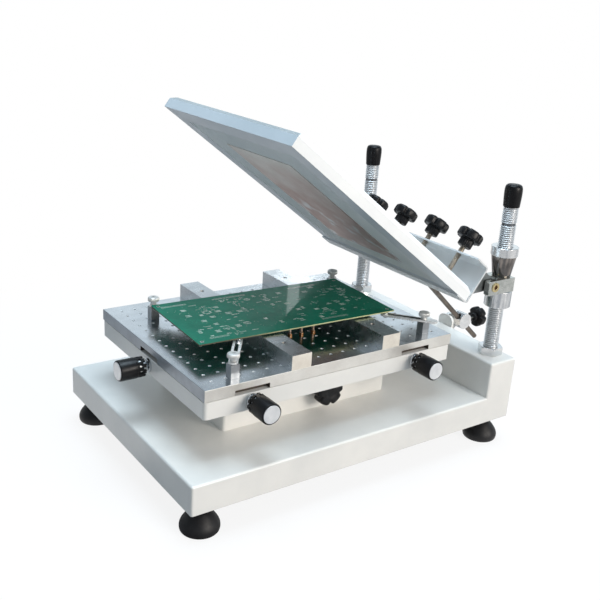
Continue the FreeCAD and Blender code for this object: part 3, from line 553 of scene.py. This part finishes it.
# Feet
def feet():
    domes, stems = Shape(), Shape()
    profile = [
        (22.6, 0.0), (23.8, 0.5), (24.8, 1.8), (25.4, 4.2), (25.5, 7.0), (25.1, 9.6), (24.0, 12.4),
        (22.0, 15.8), (19.4, 19.4), (16.4, 22.8), (13.4, 25.8), (10.4, 28.0), (8.2, 28.6), (7.4, 27.6),
    ]
    for x in (26.5, 513.5):
        for y in (26.5, 348.5):
            where = placed(x, y, FLOOR_Z)
            domes.lathe(profile, where, 56)
            stems.lathe([(6.0, 20.0), (6.0, 29.0), (5.2, 29.6)], where, 32)
            stems.thread(6.0, 1.75, 0.7, 28.2, 40.0, where)
            stems.lathe([(9.2, 33.4), (10.4, 34.0), (10.4, 38.4), (9.2, 39.0)], where, 6)
    piece("feet_domes", domes, rubber, "base", ["levelling_feet"])
    piece("feet_stems", stems, zinc, "base", ["levelling_feet"])


feet()


# Posts, nuts, caps and collars
POST_X = 519.0
POST_YS = (34.0, BASE_DEPTH - 34.0)
THREAD_PITCH, THREAD_DEPTH = 3.0, 1.1
NUT_ACROSS_FLATS = 32.0


def hexagon(across, *levels):
    # Corners cut back to a circle near the ends, as on a turned nut
    corner = across / math.sqrt(3)
    rings = []
    for height, inset in levels:
        ring = []
        for step in range(36):
            angle = 2 * math.pi * step / 36
            side = math.radians(30 + 60 * math.floor(math.degrees(angle) / 60 + 1e-9))
            reach = corner * math.cos(math.pi / 6) / math.cos(angle - side)
            ring.append(polar(min(reach, corner - inset), angle, height))
        rings.append(ring)
    return rings


def posts():
    rods, nuts, caps, collars = Shape(), Shape(), Shape(), Shape()
    nut_levels = (95.0, 1.6), (96.0, 0.2), (96.6, 0.0), (105.4, 0.0), (106.0, 0.2), (107.0, 1.6)
    cap = [
        (11.2, 319.0), (11.7, 319.4), (11.9, 323.5), (12.3, 329.0), (12.6, 335.0), (12.7, 340.0), (12.5, 344.6),
        (11.9, 347.4), (10.9, 349.4), (9.2, 350.5), (6.4, 350.95), (3.0, 351.0),
    ]
    low = [(11.1, 171.0), (18.2, 171.0), (19.0, 171.8), (19.0, 195.2), (18.2, 196.0), (11.1, 196.0)]
    high = [
        (11.1, 217.0), (12.6, 217.0), (13.2, 217.6), (18.1, 247.4), (18.1, 248.0), (18.9, 248.0), (19.5, 248.6),
        (19.5, 260.4), (18.9, 261.0), (12.0, 261.0), (11.1, 260.2),
    ]
    collar_sides = 64
    ring_spans = 7
    for y in POST_YS:
        where = placed(POST_X, y, 0)
        rods.lathe([(9.7, 66.0), (9.7, 345.0)], where, 40, tint=1)
        # A ring parts the thread near its top, dark with the roots' painted shade
        for radius, start, end in ((10.95, 94.0, 293.4), (11.0, 294.8, 343.6)):
            rods.thread(radius, THREAD_PITCH, THREAD_DEPTH, start, end, where, 40, root_tint=1)
        nuts.skin(hexagon(NUT_ACROSS_FLATS, *nut_levels), where)
        caps.lathe(cap, where, 48)
        collars.lathe(low, where, collar_sides, closed=True)
        collars.lathe(high, where, collar_sides, tint=1, closed=True)
        # The ring above the cone is bright again
        collars.tints[-ring_spans * collar_sides:] = [0] * (ring_spans * collar_sides)
    piece("threaded_posts", rods, (thread_crest, thread_root_shade), "base", ["hinge_posts"], crease=30)
    piece("hex_nuts", nuts, pale_chrome, "base", ["post_nuts"], crease=25)
    piece("rubber_caps", caps, cap_rubber, "base", ["post_caps"])
    piece(
        "post_collars", collars, (pale_chrome, cone_steel), "base", ["lower_collars", "upper_collars"],
        crease=30)


posts()


# Hinge pins
def hinge_pins():
    turned, inner = Shape(), Shape()
    pin = [
        (3.3, 0.6), (3.3, -1.1), (3.7, -1.5), (6.5, -1.5), (7.0, -1.0), (7.0, 0.0), (5.0, 0.0), (5.0, 17.2),
        (4.5, 18.0), (2.0, 18.0), (2.0, 0.6),
    ]
    for y, way in ((17.0, (0, 1, 0)), (BASE_DEPTH - 17.0, (0, -1, 0))):
        where = placed(HINGE.x, y, HINGE.z, way)
        turned.lathe(pin, where, 40, closed=True)
        # A dark brown disc in each pin's counterbore: painted shade in the bore
        inner.lathe([(2.0, 0.4), (3.3, 0.4), (3.3, 0.9), (2.0, 0.9)], where, 32)
    piece("hinge_bushes", turned, brass, "base", ["hinge_pins"])
    piece("hinge_sockets", inner, bore_shade_brown, "base")


hinge_pins()


# Adjusting knobs
KNOB_Z = 112.5
KNOBS = (
    ("left", 35.0, 187.5, (-1, 0, 0)), ("front_left", 102.0, 37.5, (0, -1, 0)),
    ("front_right", 368.0, 37.5, (0, -1, 0)),
)


def crown(grip, where):
    # Two staggered rows of teeth between plain rings, like a castle nut
    teeth, tooth_steps, tooth_share = 10, 8, 0.55
    steps = tooth_steps * teeth
    rings = []
    for low, high, cut, shift in (
        (9.0, 9.4, True, 0.0), (9.4, 12.4, True, 0.0), (12.4, 12.7, False, 0.0), (12.7, 13.7, False, 0.0),
        (13.7, 14.0, True, 0.5), (14.0, 17.8, True, 0.5), (17.8, 18.1, False, 0.0), (18.1, 20.0, False, 0.0),
    ):
        for height in (low, high):
            ring = []
            for step in range(steps):
                gap = cut and (step / tooth_steps + shift) % 1 >= tooth_share
                ring.append(polar(11.1 if gap else 13.6, 2 * math.pi * step / steps, height))
            rings.append(ring)
    grip.skin(rings, where)


def adjust_knobs():
    bushes = Shape()
    barrel = [
        (4.05, 20.0), (13.3, 20.0), (14.0, 20.7), (14.0, 42.2), (13.7, 43.3), (13.0, 43.9), (12.3, 44.0),
        (11.85, 43.7), (11.85, 43.1), (4.05, 43.1),
    ]
    for name, x, y, way in KNOBS:
        where = placed(x, y, KNOB_Z, way)
        body = "knob_" + name
        bushes.lathe([(4.4, 0.0), (9.0, 0.0), (9.5, 0.5), (9.5, 3.2), (8.7, 4.0), (4.4, 4.0)], where, closed=True)
        grip = Shape().lathe(barrel, where, 72, closed=True)
        crown(grip, where)
        piece("grip_" + name, grip, black, body, ["adjust_knob_" + name], crease=32)
        sleeve = Shape()
        for start, end in ((9.3, 12.5), (13.9, 17.9)):
            sleeve.lathe([(11.4, start), (11.4, end)], where)
        piece("sleeve_" + name, sleeve, thread_crest, body, ["adjust_knob_" + name], crease=32)
        spindle = Shape().lathe([(4.0, -8.0), (4.0, 43.0)], where, 32)
        spindle.lathe([(6.6, 5.0), (7.4, 5.6), (7.4, 8.4), (6.6, 9.0)], where, 40)
        piece("spindle_" + name, spindle, chrome, body, ["adjust_spindle_" + name], crease=32)
        disc = Shape().lathe([(11.8, 43.1), (11.8, 44.3), (11.5, 44.6), (6.0, 44.6)], where, 64)
        piece("disc_" + name, disc, disc_metal, body, ["adjust_spindle_" + name], crease=32)
    piece("chrome_bushes", bushes, chrome, "base", ["spindle_bushes"], crease=32)


adjust_knobs()


# Clamp screws and the table's lock knob
CLAMP_X, CLAMP_Z = 445.7, 234.6
CLAMP_FIRST_Y, CLAMP_PITCH = 69.0, 69.5
SCREW_LOW = 187.0


def star_knobs():
    for number in range(1, 5):
        where = placed(CLAMP_X, CLAMP_FIRST_Y + CLAMP_PITCH * (number - 1), CLAMP_Z, base=HOLDER, spin=14.0 * number)
        body = "clamp_screw_%d" % number
        star_knob("clamp_grip_%d" % number, body, "clamp_knob_%d" % number, where, 19.0, 14.0, 10.6, 11.5)
        axis = where @ Matrix.Translation((0, 0, -CLAMP_Z))
        screw = Shape().lathe([(3.2, SCREW_LOW), (3.2, CLAMP_Z + 0.5)], axis, 24)
        screw.thread(4.0, 1.25, 0.7, SCREW_LOW, 234.8, axis, 28)
        piece("clamp_thread_%d" % number, screw, screw_steel, body, [body], crease=30)
    lock_knob("table_lock", placed(252.0, 94.0, 74.0, (0, -1, 0), 21.0), (21.0, 18.0, 9.0, 6.0), 4.0, -14.0, 24)


star_knobs()


# Stay
STAY_Y = 151.0
STAY_DROP = math.radians(42.4)
PIVOT_REACH, PIVOT_DROP = 21.3 - 17.5, 25.7
CLAMP_REACH, CLAMP_LIFT = 140.0, 1.3


def stay():
    pivot_x = HINGE.x - PIVOT_REACH * math.cos(TILT) - PIVOT_DROP * math.sin(TILT)
    pivot_z = HINGE.z + PIVOT_REACH * math.sin(TILT) - PIVOT_DROP * math.cos(TILT)
    way = (math.cos(STAY_DROP), 0, -math.sin(STAY_DROP))
    clamp_x = pivot_x + CLAMP_REACH * math.cos(STAY_DROP) + CLAMP_LIFT * math.sin(STAY_DROP)
    clamp_z = pivot_z - CLAMP_REACH * math.sin(STAY_DROP) + CLAMP_LIFT * math.cos(STAY_DROP)
    eye = [(3.1, -4.5), (5.8, -4.5), (6.5, -3.8), (6.5, 3.8), (5.8, 4.5), (3.1, 4.5)]
    rod = Shape().lathe(eye, placed(pivot_x, STAY_Y, pivot_z, (0, 1, 0)), closed=True)
    rod.lathe([(4.0, 5.6), (4.0, 190.6), (3.0, 192.0)], placed(pivot_x, STAY_Y, pivot_z, way), 32)
    piece("stay_shaft", rod, stay_steel, "stay_rod", ["stay_rod"], crease=32)
    lock_knob("stay_lock", placed(clamp_x + 27.0, STAY_Y, clamp_z, (1, 0, 0)), (16.5, 13.0, 7.0, 4.0), 2.5, -15.7, 20)


stay()


# Platform with round holes
PLATE_X, PLATE_Y = 35.0, 37.5
PLATE_WIDTH, PLATE_DEPTH = 400.0, 300.0
PLATE_TOP, PLATE_BOTTOM = 139.3, 123.3
PLATE_BEVEL = 0.5
MIDDLE_X, MIDDLE_Y = PLATE_X + PLATE_WIDTH / 2, PLATE_Y + PLATE_DEPTH / 2
HOLE_PITCH, HOLE_RADIUS, HOLE_DEPTH = 20.0, 1.8, 6.0
# The bars' left edges from the plate's own
BAR_STARTS, BAR_HALF = (123.5, 271.5), 15.0
# Openings in the plate's sides, behind the adjusting knobs
NOTCHES = (
    ((34.0, 162.5, 122.0), (43.0, 212.5, 130.3)), ((77.0, 36.5, 122.0), (127.0, 45.5, 130.3)),
    ((343.0, 36.5, 122.0), (393.0, 45.5, 130.3)),
)


def quartered(corners):
    # A closed outline with each of its runs divided in four
    line = []
    for (x, y), (next_x, next_y) in zip(corners, corners[1:] + corners[:1]):
        for step in range(4):
            line.append((x + (next_x - x) * step / 4, y + (next_y - y) * step / 4))
    return line


def grid_lines(start, length):
    # Cells are centred on the grid points, and the outer ones reach the plate's bevel
    inner = [start + HOLE_PITCH * (index + 0.5) for index in range(1, round(length / HOLE_PITCH) - 1)]
    return [start + PLATE_BEVEL] + inner + [start + length - PLATE_BEVEL]


def pushed(value, middle, length, out):
    # A point of the outline moves outwards across the side that it lies on
    on_side = abs(abs(value - middle) - (length / 2 - PLATE_BEVEL)) < 0.01
    return value + math.copysign(out, value - middle) if on_side else value


def plate_mesh():
    lookup = {}
    points = []
    faces = []

    def corner(x, y, z):
        key = (round(x, 3), round(y, 3), round(z, 3))
        if key not in lookup:
            lookup[key] = len(points)
            points.append(key)
        return lookup[key]

    xs = grid_lines(PLATE_X, PLATE_WIDTH)
    ys = grid_lines(PLATE_Y, PLATE_DEPTH)
    hole = (
        (HOLE_RADIUS + 0.35, PLATE_TOP), (HOLE_RADIUS - 0.1, PLATE_TOP - 0.5),
        (HOLE_RADIUS - 0.1, PLATE_TOP - HOLE_DEPTH),
    )
    for column in range(1, len(xs)):
        offset = HOLE_PITCH * column
        under_bar = any(abs(offset - start - BAR_HALF) < BAR_HALF + HOLE_RADIUS for start in BAR_STARTS)
        left, right_x = xs[column - 1], xs[column]
        for row in range(1, len(ys)):
            front, rear = ys[row - 1], ys[row]
            border = quartered([(left, front), (right_x, front), (right_x, rear), (left, rear)])
            loops = [[corner(x, y, PLATE_TOP) for x, y in border]]
            if not under_bar:
                centre_x, centre_y = PLATE_X + offset, PLATE_Y + HOLE_PITCH * row
                for reach, z in hole:
                    loop = []
                    for step in range(16):
                        angle = math.radians(-135 + 22.5 * step)
                        loop.append(corner(centre_x + reach * math.cos(angle), centre_y + reach * math.sin(angle), z))
                    loops.append(loop)
                for first, second in zip(loops, loops[1:]):
                    for step in range(16):
                        after = (step + 1) % 16
                        faces.append([first[step], first[after], second[after], second[step]])
            faces.append(loops[-1])
    border = quartered(
        [(x, ys[0]) for x in xs[:-1]] + [(xs[-1], y) for y in ys[:-1]]
        + [(x, ys[-1]) for x in xs[:0:-1]] + [(xs[0], y) for y in ys[:0:-1]])
    rings = [[corner(x, y, PLATE_TOP) for x, y in border]]
    for out, z in (
        (PLATE_BEVEL, PLATE_TOP - PLATE_BEVEL), (PLATE_BEVEL, PLATE_BOTTOM + PLATE_BEVEL), (0.0, PLATE_BOTTOM),
    ):
        rings.append([
            corner(pushed(x, MIDDLE_X, PLATE_WIDTH, out), pushed(y, MIDDLE_Y, PLATE_DEPTH, out), z)
            for x, y in border])
    for first, second in zip(rings, rings[1:]):
        for step in range(len(first)):
            after = (step + 1) % len(first)
            faces.append([first[after], first[step], second[step], second[after]])
    faces.append(list(reversed(rings[-1])))
    return points, faces


def plate_side(middle):
    # The place of a face's middle gives its material: 0 top, 1 holes, 2 sides, 3 notches in painted shade, 4 left side
    # in painted shade
    inside = abs(middle.x - MIDDLE_X) < PLATE_WIDTH / 2 - 1.0 and abs(middle.y - MIDDLE_Y) < PLATE_DEPTH / 2 - 1.0
    if middle.z > PLATE_TOP - 0.01:
        return 0
    if inside and middle.z > 132.0:
        return 1
    if inside and middle.z > 124.0:
        return 3
    return 4 if middle.x < PLATE_X + 0.4 else 2


def platform():
    materials = (plate_metal, hole_walls, milled_edge, notch_shade_walls, milled_left_shade)
    shape = Shape()
    shape.add(*plate_mesh(), BASE)
    plate = piece("platform_top", shape, materials, "platform", ["platform_plate"], crease=30)
    notches = Shape()
    for low, high in NOTCHES:
        notches.block(low, high, BASE)
    cutter_mesh = bpy.data.meshes.new("cutter")
    cutter_mesh.from_pydata([tuple(point) for point in notches.points], [], notches.faces)
    cutter = added("cutter", cutter_mesh)
    cut = plate.modifiers.new("notches", "BOOLEAN")
    cut.object = cutter
    cut.solver = "EXACT"
    bpy.context.view_layer.update()
    made = bpy.data.meshes.new_from_object(plate.evaluated_get(bpy.context.evaluated_depsgraph_get()))
    plate.modifiers.clear()
    plate.data = made
    made.materials.clear()
    for material in materials:
        made.materials.append(material)
    to_base = BASE.inverted()
    for face in made.polygons:
        face.material_index = plate_side(to_base @ face.center)
    bpy.data.objects.remove(cutter)


platform()


# Arms, the columns' screws and the brass pins
# An arm's place, its way in degrees, its pin along it, and how far its blade is slid back
ARMS = (
    ("front_left", 85.0, 58.0, 54.0, 69.0, 0.0), ("front_right", 400.0, 60.0, 131.0, 54.5, 14.0),
    ("back_left", 84.5, 276.0, -52.0, 24.0, 0.0), ("back_right", 394.0, 269.0, -117.0, 40.0, 0.0),
)
BLADE_LOW, BLADE_HIGH = 156.6, 159.6
BLADE_LENGTH, BLADE_HALF, BLADE_CHAMFER = 70.0, 6.0, 0.3
SLOT_START, SLOT_HALF = 13.0, 2.5


def capsule(first, last, reach):
    # Two half circles about the ends of a line along x
    steps = 12
    line = []
    for centre, begin in ((last, -90.0), (first, 90.0)):
        for step in range(steps + 1):
            angle = math.radians(begin + 180.0 * step / steps)
            line.append((centre + reach * math.cos(angle), reach * math.sin(angle)))
    return line


def slotted_blade(shape, where):
    # Outline and slot joined by strips, so that the slot goes right through
    def drawn_in(z, amount):
        made = []
        for x, y in capsule(0.0, BLADE_LENGTH, BLADE_HALF):
            centre = min(max(x, 0.0), BLADE_LENGTH)
            length = math.hypot(x - centre, y)
            made.append((x - amount * (x - centre) / length, y - amount * y / length, z))
        return made

    inner = capsule(SLOT_START, BLADE_LENGTH, SLOT_HALF)
    rings = [
        drawn_in(BLADE_LOW, BLADE_CHAMFER), drawn_in(BLADE_LOW + BLADE_CHAMFER, 0.0),
        drawn_in(BLADE_HIGH - BLADE_CHAMFER, 0.0), drawn_in(BLADE_HIGH, BLADE_CHAMFER),
        [(x, y, BLADE_HIGH) for x, y in inner], [(x, y, BLADE_LOW) for x, y in inner],
    ]
    shape.skin(rings, where, closed=True)
    # The slot's walls are the fifth strip, dark as painted shade
    count = len(inner)
    shape.tints[4 * count:5 * count] = [1] * count


def arms():
    heads = Shape()
    head = [
        (3.8, 159.9), (4.2, 160.2), (4.2, 163.4), (4.6, 163.9), (6.4, 164.4), (7.7, 165.0, 1), (8.0, 165.5, 1),
        (8.0, 168.8, 1), (7.8, 169.5, 1), (7.0, 170.3), (5.4, 170.8), (3.0, 170.9),
    ]
    for name, x, y, way, pin, slid in ARMS:
        where = placed(x, y, 0, spin=way)
        body = "arm_" + name
        replaced = ["support_arm_" + name]
        blade = Shape()
        slotted_blade(blade, where @ Matrix.Translation((-slid, 0, 0)))
        piece("arm_blade_" + name, blade, (arm_steel, slot_shade_steel), body, replaced, crease=30)
        stem = where @ Matrix.Translation((pin, 0, 0))
        post = Shape().lathe([(3.0, 154.1), (3.4, 154.5), (3.4, 156.2), (3.0, 156.6)], stem, 6)
        post.lathe([(2.2, 154.3), (2.2, 159.9)], stem, 24)
        collar = [(3.0, 159.62), (3.4, 159.9, 1), (3.4, 160.7, 1), (3.0, 161.0)]
        post.lathe(collar, stem, ribs=16, rib_depth=0.3)
        piece("arm_pin_" + name, post, chrome, body, replaced, crease=30)
        heads.lathe(head, placed(x, y, 0), 144, ribs=36, rib_depth=0.55)
    piece("knurled_heads", heads, satin, "platform", ["thumb_screws"], crease=40)
    pins = Shape()
    for x, y in ((222.0, 135.0), (239.0, 132.0), (259.0, 132.0)):
        where = placed(x, y, 0)
        pins.lathe([(2.9, PLATE_TOP), (3.3, 139.6), (3.3, 142.0), (2.9, 142.3)], where, 6)
        pins.lathe([(1.8, 141.0), (1.8, 160.4), (1.5, 161.0)], where, 24)
        pins.thread(2.1, 0.8, 0.35, 142.0, 152.0, where, 20)
    piece("turned_pins", pins, copper, "platform", ["board_pins"], crease=30)


arms()


# Board artwork: plain lands, rows of holes and marks, millimetres from the board's middle
BOARD_HALF_X, BOARD_HALF_Y = 146, 66
SUNK = -0.1
PAD_LIFT, MARK_LIFT = 0.04, 0.03


def artwork():
    rng = random.Random(7)
    pads, marks, holes = Shape(), Shape(), Shape()
    taken = []

    def flat(shape, x, y, half_x, half_y, lift):
        shape.block((x - half_x, y - half_y, SUNK), (x + half_x, y + half_y, lift), BOARD)

    def disc(shape, x, y, radius, lift, sides):
        shape.lathe([(radius, SUNK), (radius, lift)], BOARD @ Matrix.Translation((x, y, 0)), sides)

    def line(x0, y0, x1, y1, width=0.3):
        half_x, half_y = abs(x1 - x0) / 2 + width / 2, abs(y1 - y0) / 2 + width / 2
        flat(marks, (x0 + x1) / 2, (y0 + y1) / 2, half_x, half_y, MARK_LIFT)

    def outline(x, y, half_x, half_y):
        for side in (-1, 1):
            line(x - half_x, y + side * half_y, x + half_x, y + side * half_y)
        for side in (-1, 1):
            line(x + side * half_x, y - half_y, x + side * half_x, y + half_y)

    def free(x, y, half_x, half_y, gap=2.0):
        # Takes the place if it is on the board and clear of all others
        if abs(x) + half_x > BOARD_HALF_X or abs(y) + half_y > BOARD_HALF_Y:
            return False
        for other_x, other_y, other_half_x, other_half_y in taken:
            if abs(x - other_x) < half_x + other_half_x + gap and abs(y - other_y) < half_y + other_half_y + gap:
                return False
        taken.append((x, y, half_x, half_y))
        return True

    def packaged(x, y, count, pitch, span, four):
        # Lands of a chip with pins on two or four sides
        reach = (count - 1) * pitch / 2
        for index in range(count):
            offset = -reach + pitch * index
            for side in (-1, 1):
                flat(pads, x + offset, y + side * span, pitch * 0.28, 0.9, PAD_LIFT)
                if four:
                    flat(pads, x + side * span, y + offset, 0.9, pitch * 0.28, PAD_LIFT)
        if rng.random() < 0.4:
            outline(x, y, (span - 1.8) if four else reach + 1.2, span - 1.8)
        line(x - reach - 2.2, y + span + 1.6, x - reach - 1.0, y + span + 1.6, 0.5)

    for x, y, count, pitch, span in (
        (-96, 22, 9, 0.8, 5.4), (-64, -34, 7, 1.27, 3.2), (-118, -28, 7, 1.27, 3.2), (6, 34, 7, 1.27, 3.2),
        (22, -38, 6, 1.27, 3.0), (98, -12, 7, 1.0, 3.2), (120, 36, 6, 1.27, 3.0), (70, -44, 7, 1.27, 3.2),
        (-20, 46, 6, 1.27, 3.0),
    ):
        # The chip of finest pitch has pins on all its sides
        four = pitch < 1.0
        half = (count - 1) * pitch / 2 + 2.5
        if free(x, y, max(half, span if four else half), span + 1.5):
            packaged(x, y, count, pitch, span, four)

    # Rows of drilled lands near the edges, each hole a flat dark disc of painted shade
    row_pitch = 2.54
    for x, y, count in ((-128, 62, 14), (-40, 64, 20), (60, -63, 16), (84, 63, 18), (-120, -62, 10)):
        reach = (count - 1) * row_pitch / 2
        taken.append((x, y, reach + 2, 2.5))
        outline(x, y, reach + 1.8, 1.9)
        for index in range(count):
            disc(pads, x - reach + row_pitch * index, y, 0.9, PAD_LIFT, 12)
            disc(holes, x - reach + row_pitch * index, y, 0.5, 0.05, 10)

    # Chips of two rows
    for _ in range(44):
        x, y = rng.uniform(-136, 136), rng.uniform(-56, 56)
        count, span = rng.randint(4, 7), rng.choice((1.7, 2.1, 2.6))
        if not free(x, y, count * 0.7, span + 1.0, 1.6):
            continue
        for index in range(count):
            for side in (-1, 1):
                flat(marks, x + (index - (count - 1) / 2) * 1.27, y + side * span, 0.42, 0.9, 0.035)
        if rng.random() < 0.5:
            flat(marks, x, y, count * 0.5, 0.35, MARK_LIFT)

    # Clusters of small parts with two lands each
    clusters = [(rng.uniform(-132, 132), rng.uniform(-58, 58)) for _ in range(14)]
    for cluster_x, cluster_y in clusters:
        upright = rng.random() < 0.5
        for _ in range(rng.randint(7, 12)):
            x = round((cluster_x + rng.gauss(0, 5)) / 1.5) * 1.5
            y = round((cluster_y + rng.gauss(0, 3.5)) / 1.5) * 1.5
            size = rng.choice((0.6, 0.8, 1.0))
            gap = size * 1.7
            half_x, half_y = (size, gap + size) if upright else (gap + size, size)
            if not free(x, y, half_x, half_y, 0.7):
                continue
            for side in (-1, 1):
                if upright:
                    flat(pads, x, y + side * gap, size * 0.8, size * 0.7, PAD_LIFT)
                else:
                    flat(pads, x + side * gap, y, size * 0.7, size * 0.8, PAD_LIFT)
            if rng.random() < 0.12:
                outline(x, y, half_x + 0.35, half_y + 0.35)
            if rng.random() < 0.5:
                for beside in (0.9, 1.7):
                    line(x + half_x + beside, y - 0.7, x + half_x + beside, y + 0.7, 0.35)

    # Short worn bars of legend, as rows of small strokes
    for _ in range(46):
        x, y = rng.uniform(-138, 138), rng.uniform(-60, 60)
        length, thick = rng.uniform(2.0, 5.5), rng.uniform(0.7, 1.5)
        if not free(x, y, length, thick, 0.2):
            continue
        stroke = -length
        while stroke < length:
            tall = thick * rng.uniform(0.5, 1.0)
            flat(marks, x + stroke, y + rng.uniform(-0.2, 0.2), rng.uniform(0.2, 0.55), tall, MARK_LIFT)
            stroke += rng.uniform(1.0, 1.7)

    # Small vias, and a hole at each corner as a dark disc of painted shade
    for _ in range(140):
        x, y = rng.uniform(-150, 150), rng.uniform(-70, 70)
        if free(x, y, 0.4, 0.4, 0.3):
            disc(pads, x, y, 0.42, 0.035, 8)
    for x in (-148, 148):
        for y in (-68, 68):
            disc(pads, x, y, 2.6, MARK_LIFT, 28)
            disc(holes, x, y, 1.7, 0.045, 24)
    piece("board_lands", pads, tin, "platform")
    piece("board_marks", marks, legend, "platform")
    piece("board_drill_shade", holes, hole_shade, "platform")


artwork()


# Floor, world and lamps
def floor():
    mesh = bpy.data.meshes.new("floor")
    reach = 30.0
    corners = [(-reach, -reach, 0), (reach, -reach, 0), (reach, reach, 0), (-reach, reach, 0)]
    mesh.from_pydata(corners, [], [(0, 1, 2, 3)])
    made = added("floor", mesh)
    material = bpy.data.materials.new("floor")
    material.use_nodes = True
    nodes = Nodes(material.node_tree)
    shader = material.node_tree.nodes["Principled BSDF"]
    shader.inputs["Roughness"].default_value = 0.8
    rays = nodes.node("ShaderNodeLightPath")
    seen = rays.outputs["Is Camera Ray"]
    nodes.feed(shader.inputs["Base Color"], nodes.mix(seen, (0.24, 0.24, 0.25, 1), (0.92, 0.92, 0.93, 1)))
    glow = nodes.node("ShaderNodeEmission", {"Color": (1, 1, 1, 1), "Strength": 1.0})
    place = nodes.node("ShaderNodeTexCoord").outputs["Object"]
    length = nodes.node("ShaderNodeVectorMath", {0: place}, operation="LENGTH").outputs["Value"]
    fade = nodes.ranged(length, 0.3, 0.8, 0.86, 1.0)
    # Glossy rays see the floor glowing in blotches: painted reflections for the metal parts
    drift = nodes.node("ShaderNodeTexNoise", {"Scale": 2.6, "Detail": 1.0, "Vector": place}).outputs["Fac"]
    share = nodes.maths(
        "MAXIMUM", nodes.maths("MULTIPLY", seen, fade),
        nodes.maths("MULTIPLY", rays.outputs["Is Glossy Ray"], nodes.ranged(drift, 0.42, 0.58, 0.1, 0.95)))
    blend = nodes.node("ShaderNodeMixShader", {0: share, 1: shader.outputs[0], 2: glow.outputs[0]})
    nodes.feed(material.node_tree.nodes["Material Output"].inputs["Surface"], blend.outputs[0])
    mesh.materials.append(material)


floor()


def world():
    # A pale blue window band low all round, a greyer room above it, and white for the camera
    made = bpy.data.worlds.new("studio")
    scene.world = made
    made.use_nodes = True
    nodes = Nodes(made.node_tree)
    background = made.node_tree.nodes["Background"]
    background.inputs["Strength"].default_value = 1.0
    parts = nodes.node("ShaderNodeSeparateXYZ", {0: nodes.node("ShaderNodeTexCoord").outputs["Generated"]})
    ramp = nodes.node("ShaderNodeValToRGB")
    stops = ramp.color_ramp.elements
    heights = (
        (-90.0, (0.30, 0.30, 0.31)), (0.0, (0.32, 0.34, 0.36)), (7.0, (0.52, 0.58, 0.62)), (11.0, (1.0, 1.08, 1.12)),
        (18.5, (1.0, 1.12, 1.18)), (21.0, (0.92, 1.06, 1.18)), (24.8, (0.88, 1.02, 1.16)), (25.6, (0.40, 0.45, 0.49)),
        (40.0, (0.30, 0.34, 0.38)), (90.0, (0.34, 0.42, 0.52)),
    )
    while len(stops) < len(heights):
        stops.new(0.5)
    for stop, (degrees, colour) in zip(stops, heights):
        stop.position = (math.sin(math.radians(degrees)) + 1) / 2
        stop.color = (*colour, 1)
    nodes.feed(ramp.inputs[0], nodes.ranged(parts.outputs["Z"], -1.0, 1.0))
    seen = nodes.node("ShaderNodeLightPath").outputs["Is Camera Ray"]
    # The room is dimmer on the left
    side = nodes.ranged(parts.outputs["X"], -0.8, -0.1, 0.58, 1.0)
    dimmed = nodes.node("ShaderNodeVectorMath", {0: ramp.outputs[0], "Scale": side}, operation="SCALE")
    nodes.feed(background.inputs["Color"], nodes.mix(seen, dimmed.outputs[0], (1, 1, 1, 1)))


world()


def lamp(name, place, target, size, power, colour):
    data = bpy.data.lights.new(name, "AREA")
    data.shape = "RECTANGLE"
    data.size, data.size_y = size
    data.energy = power
    data.color = colour
    made = added(name, data)
    made.location = place
    made.rotation_euler = (Vector(target) - Vector(place)).to_track_quat("-Z", "Y").to_euler()


lamp("key", (0.9, -3.0, 1.3), (0, 0, 0.1), (1.6, 1.4), 77, (1.0, 0.92, 0.84))
lamp("top", (0.1, 0.15, 3.1), (0.0, 0, 0.1), (1.8, 1.8), 86, (0.72, 0.88, 1.0))
lamp("slit", (1.336, 1.923, 1.057), (-0.035, 0.014, 0.203), (0.05, 0.5), 0.55, (0.95, 0.98, 1.0))

scene.view_settings.view_transform = "Standard"
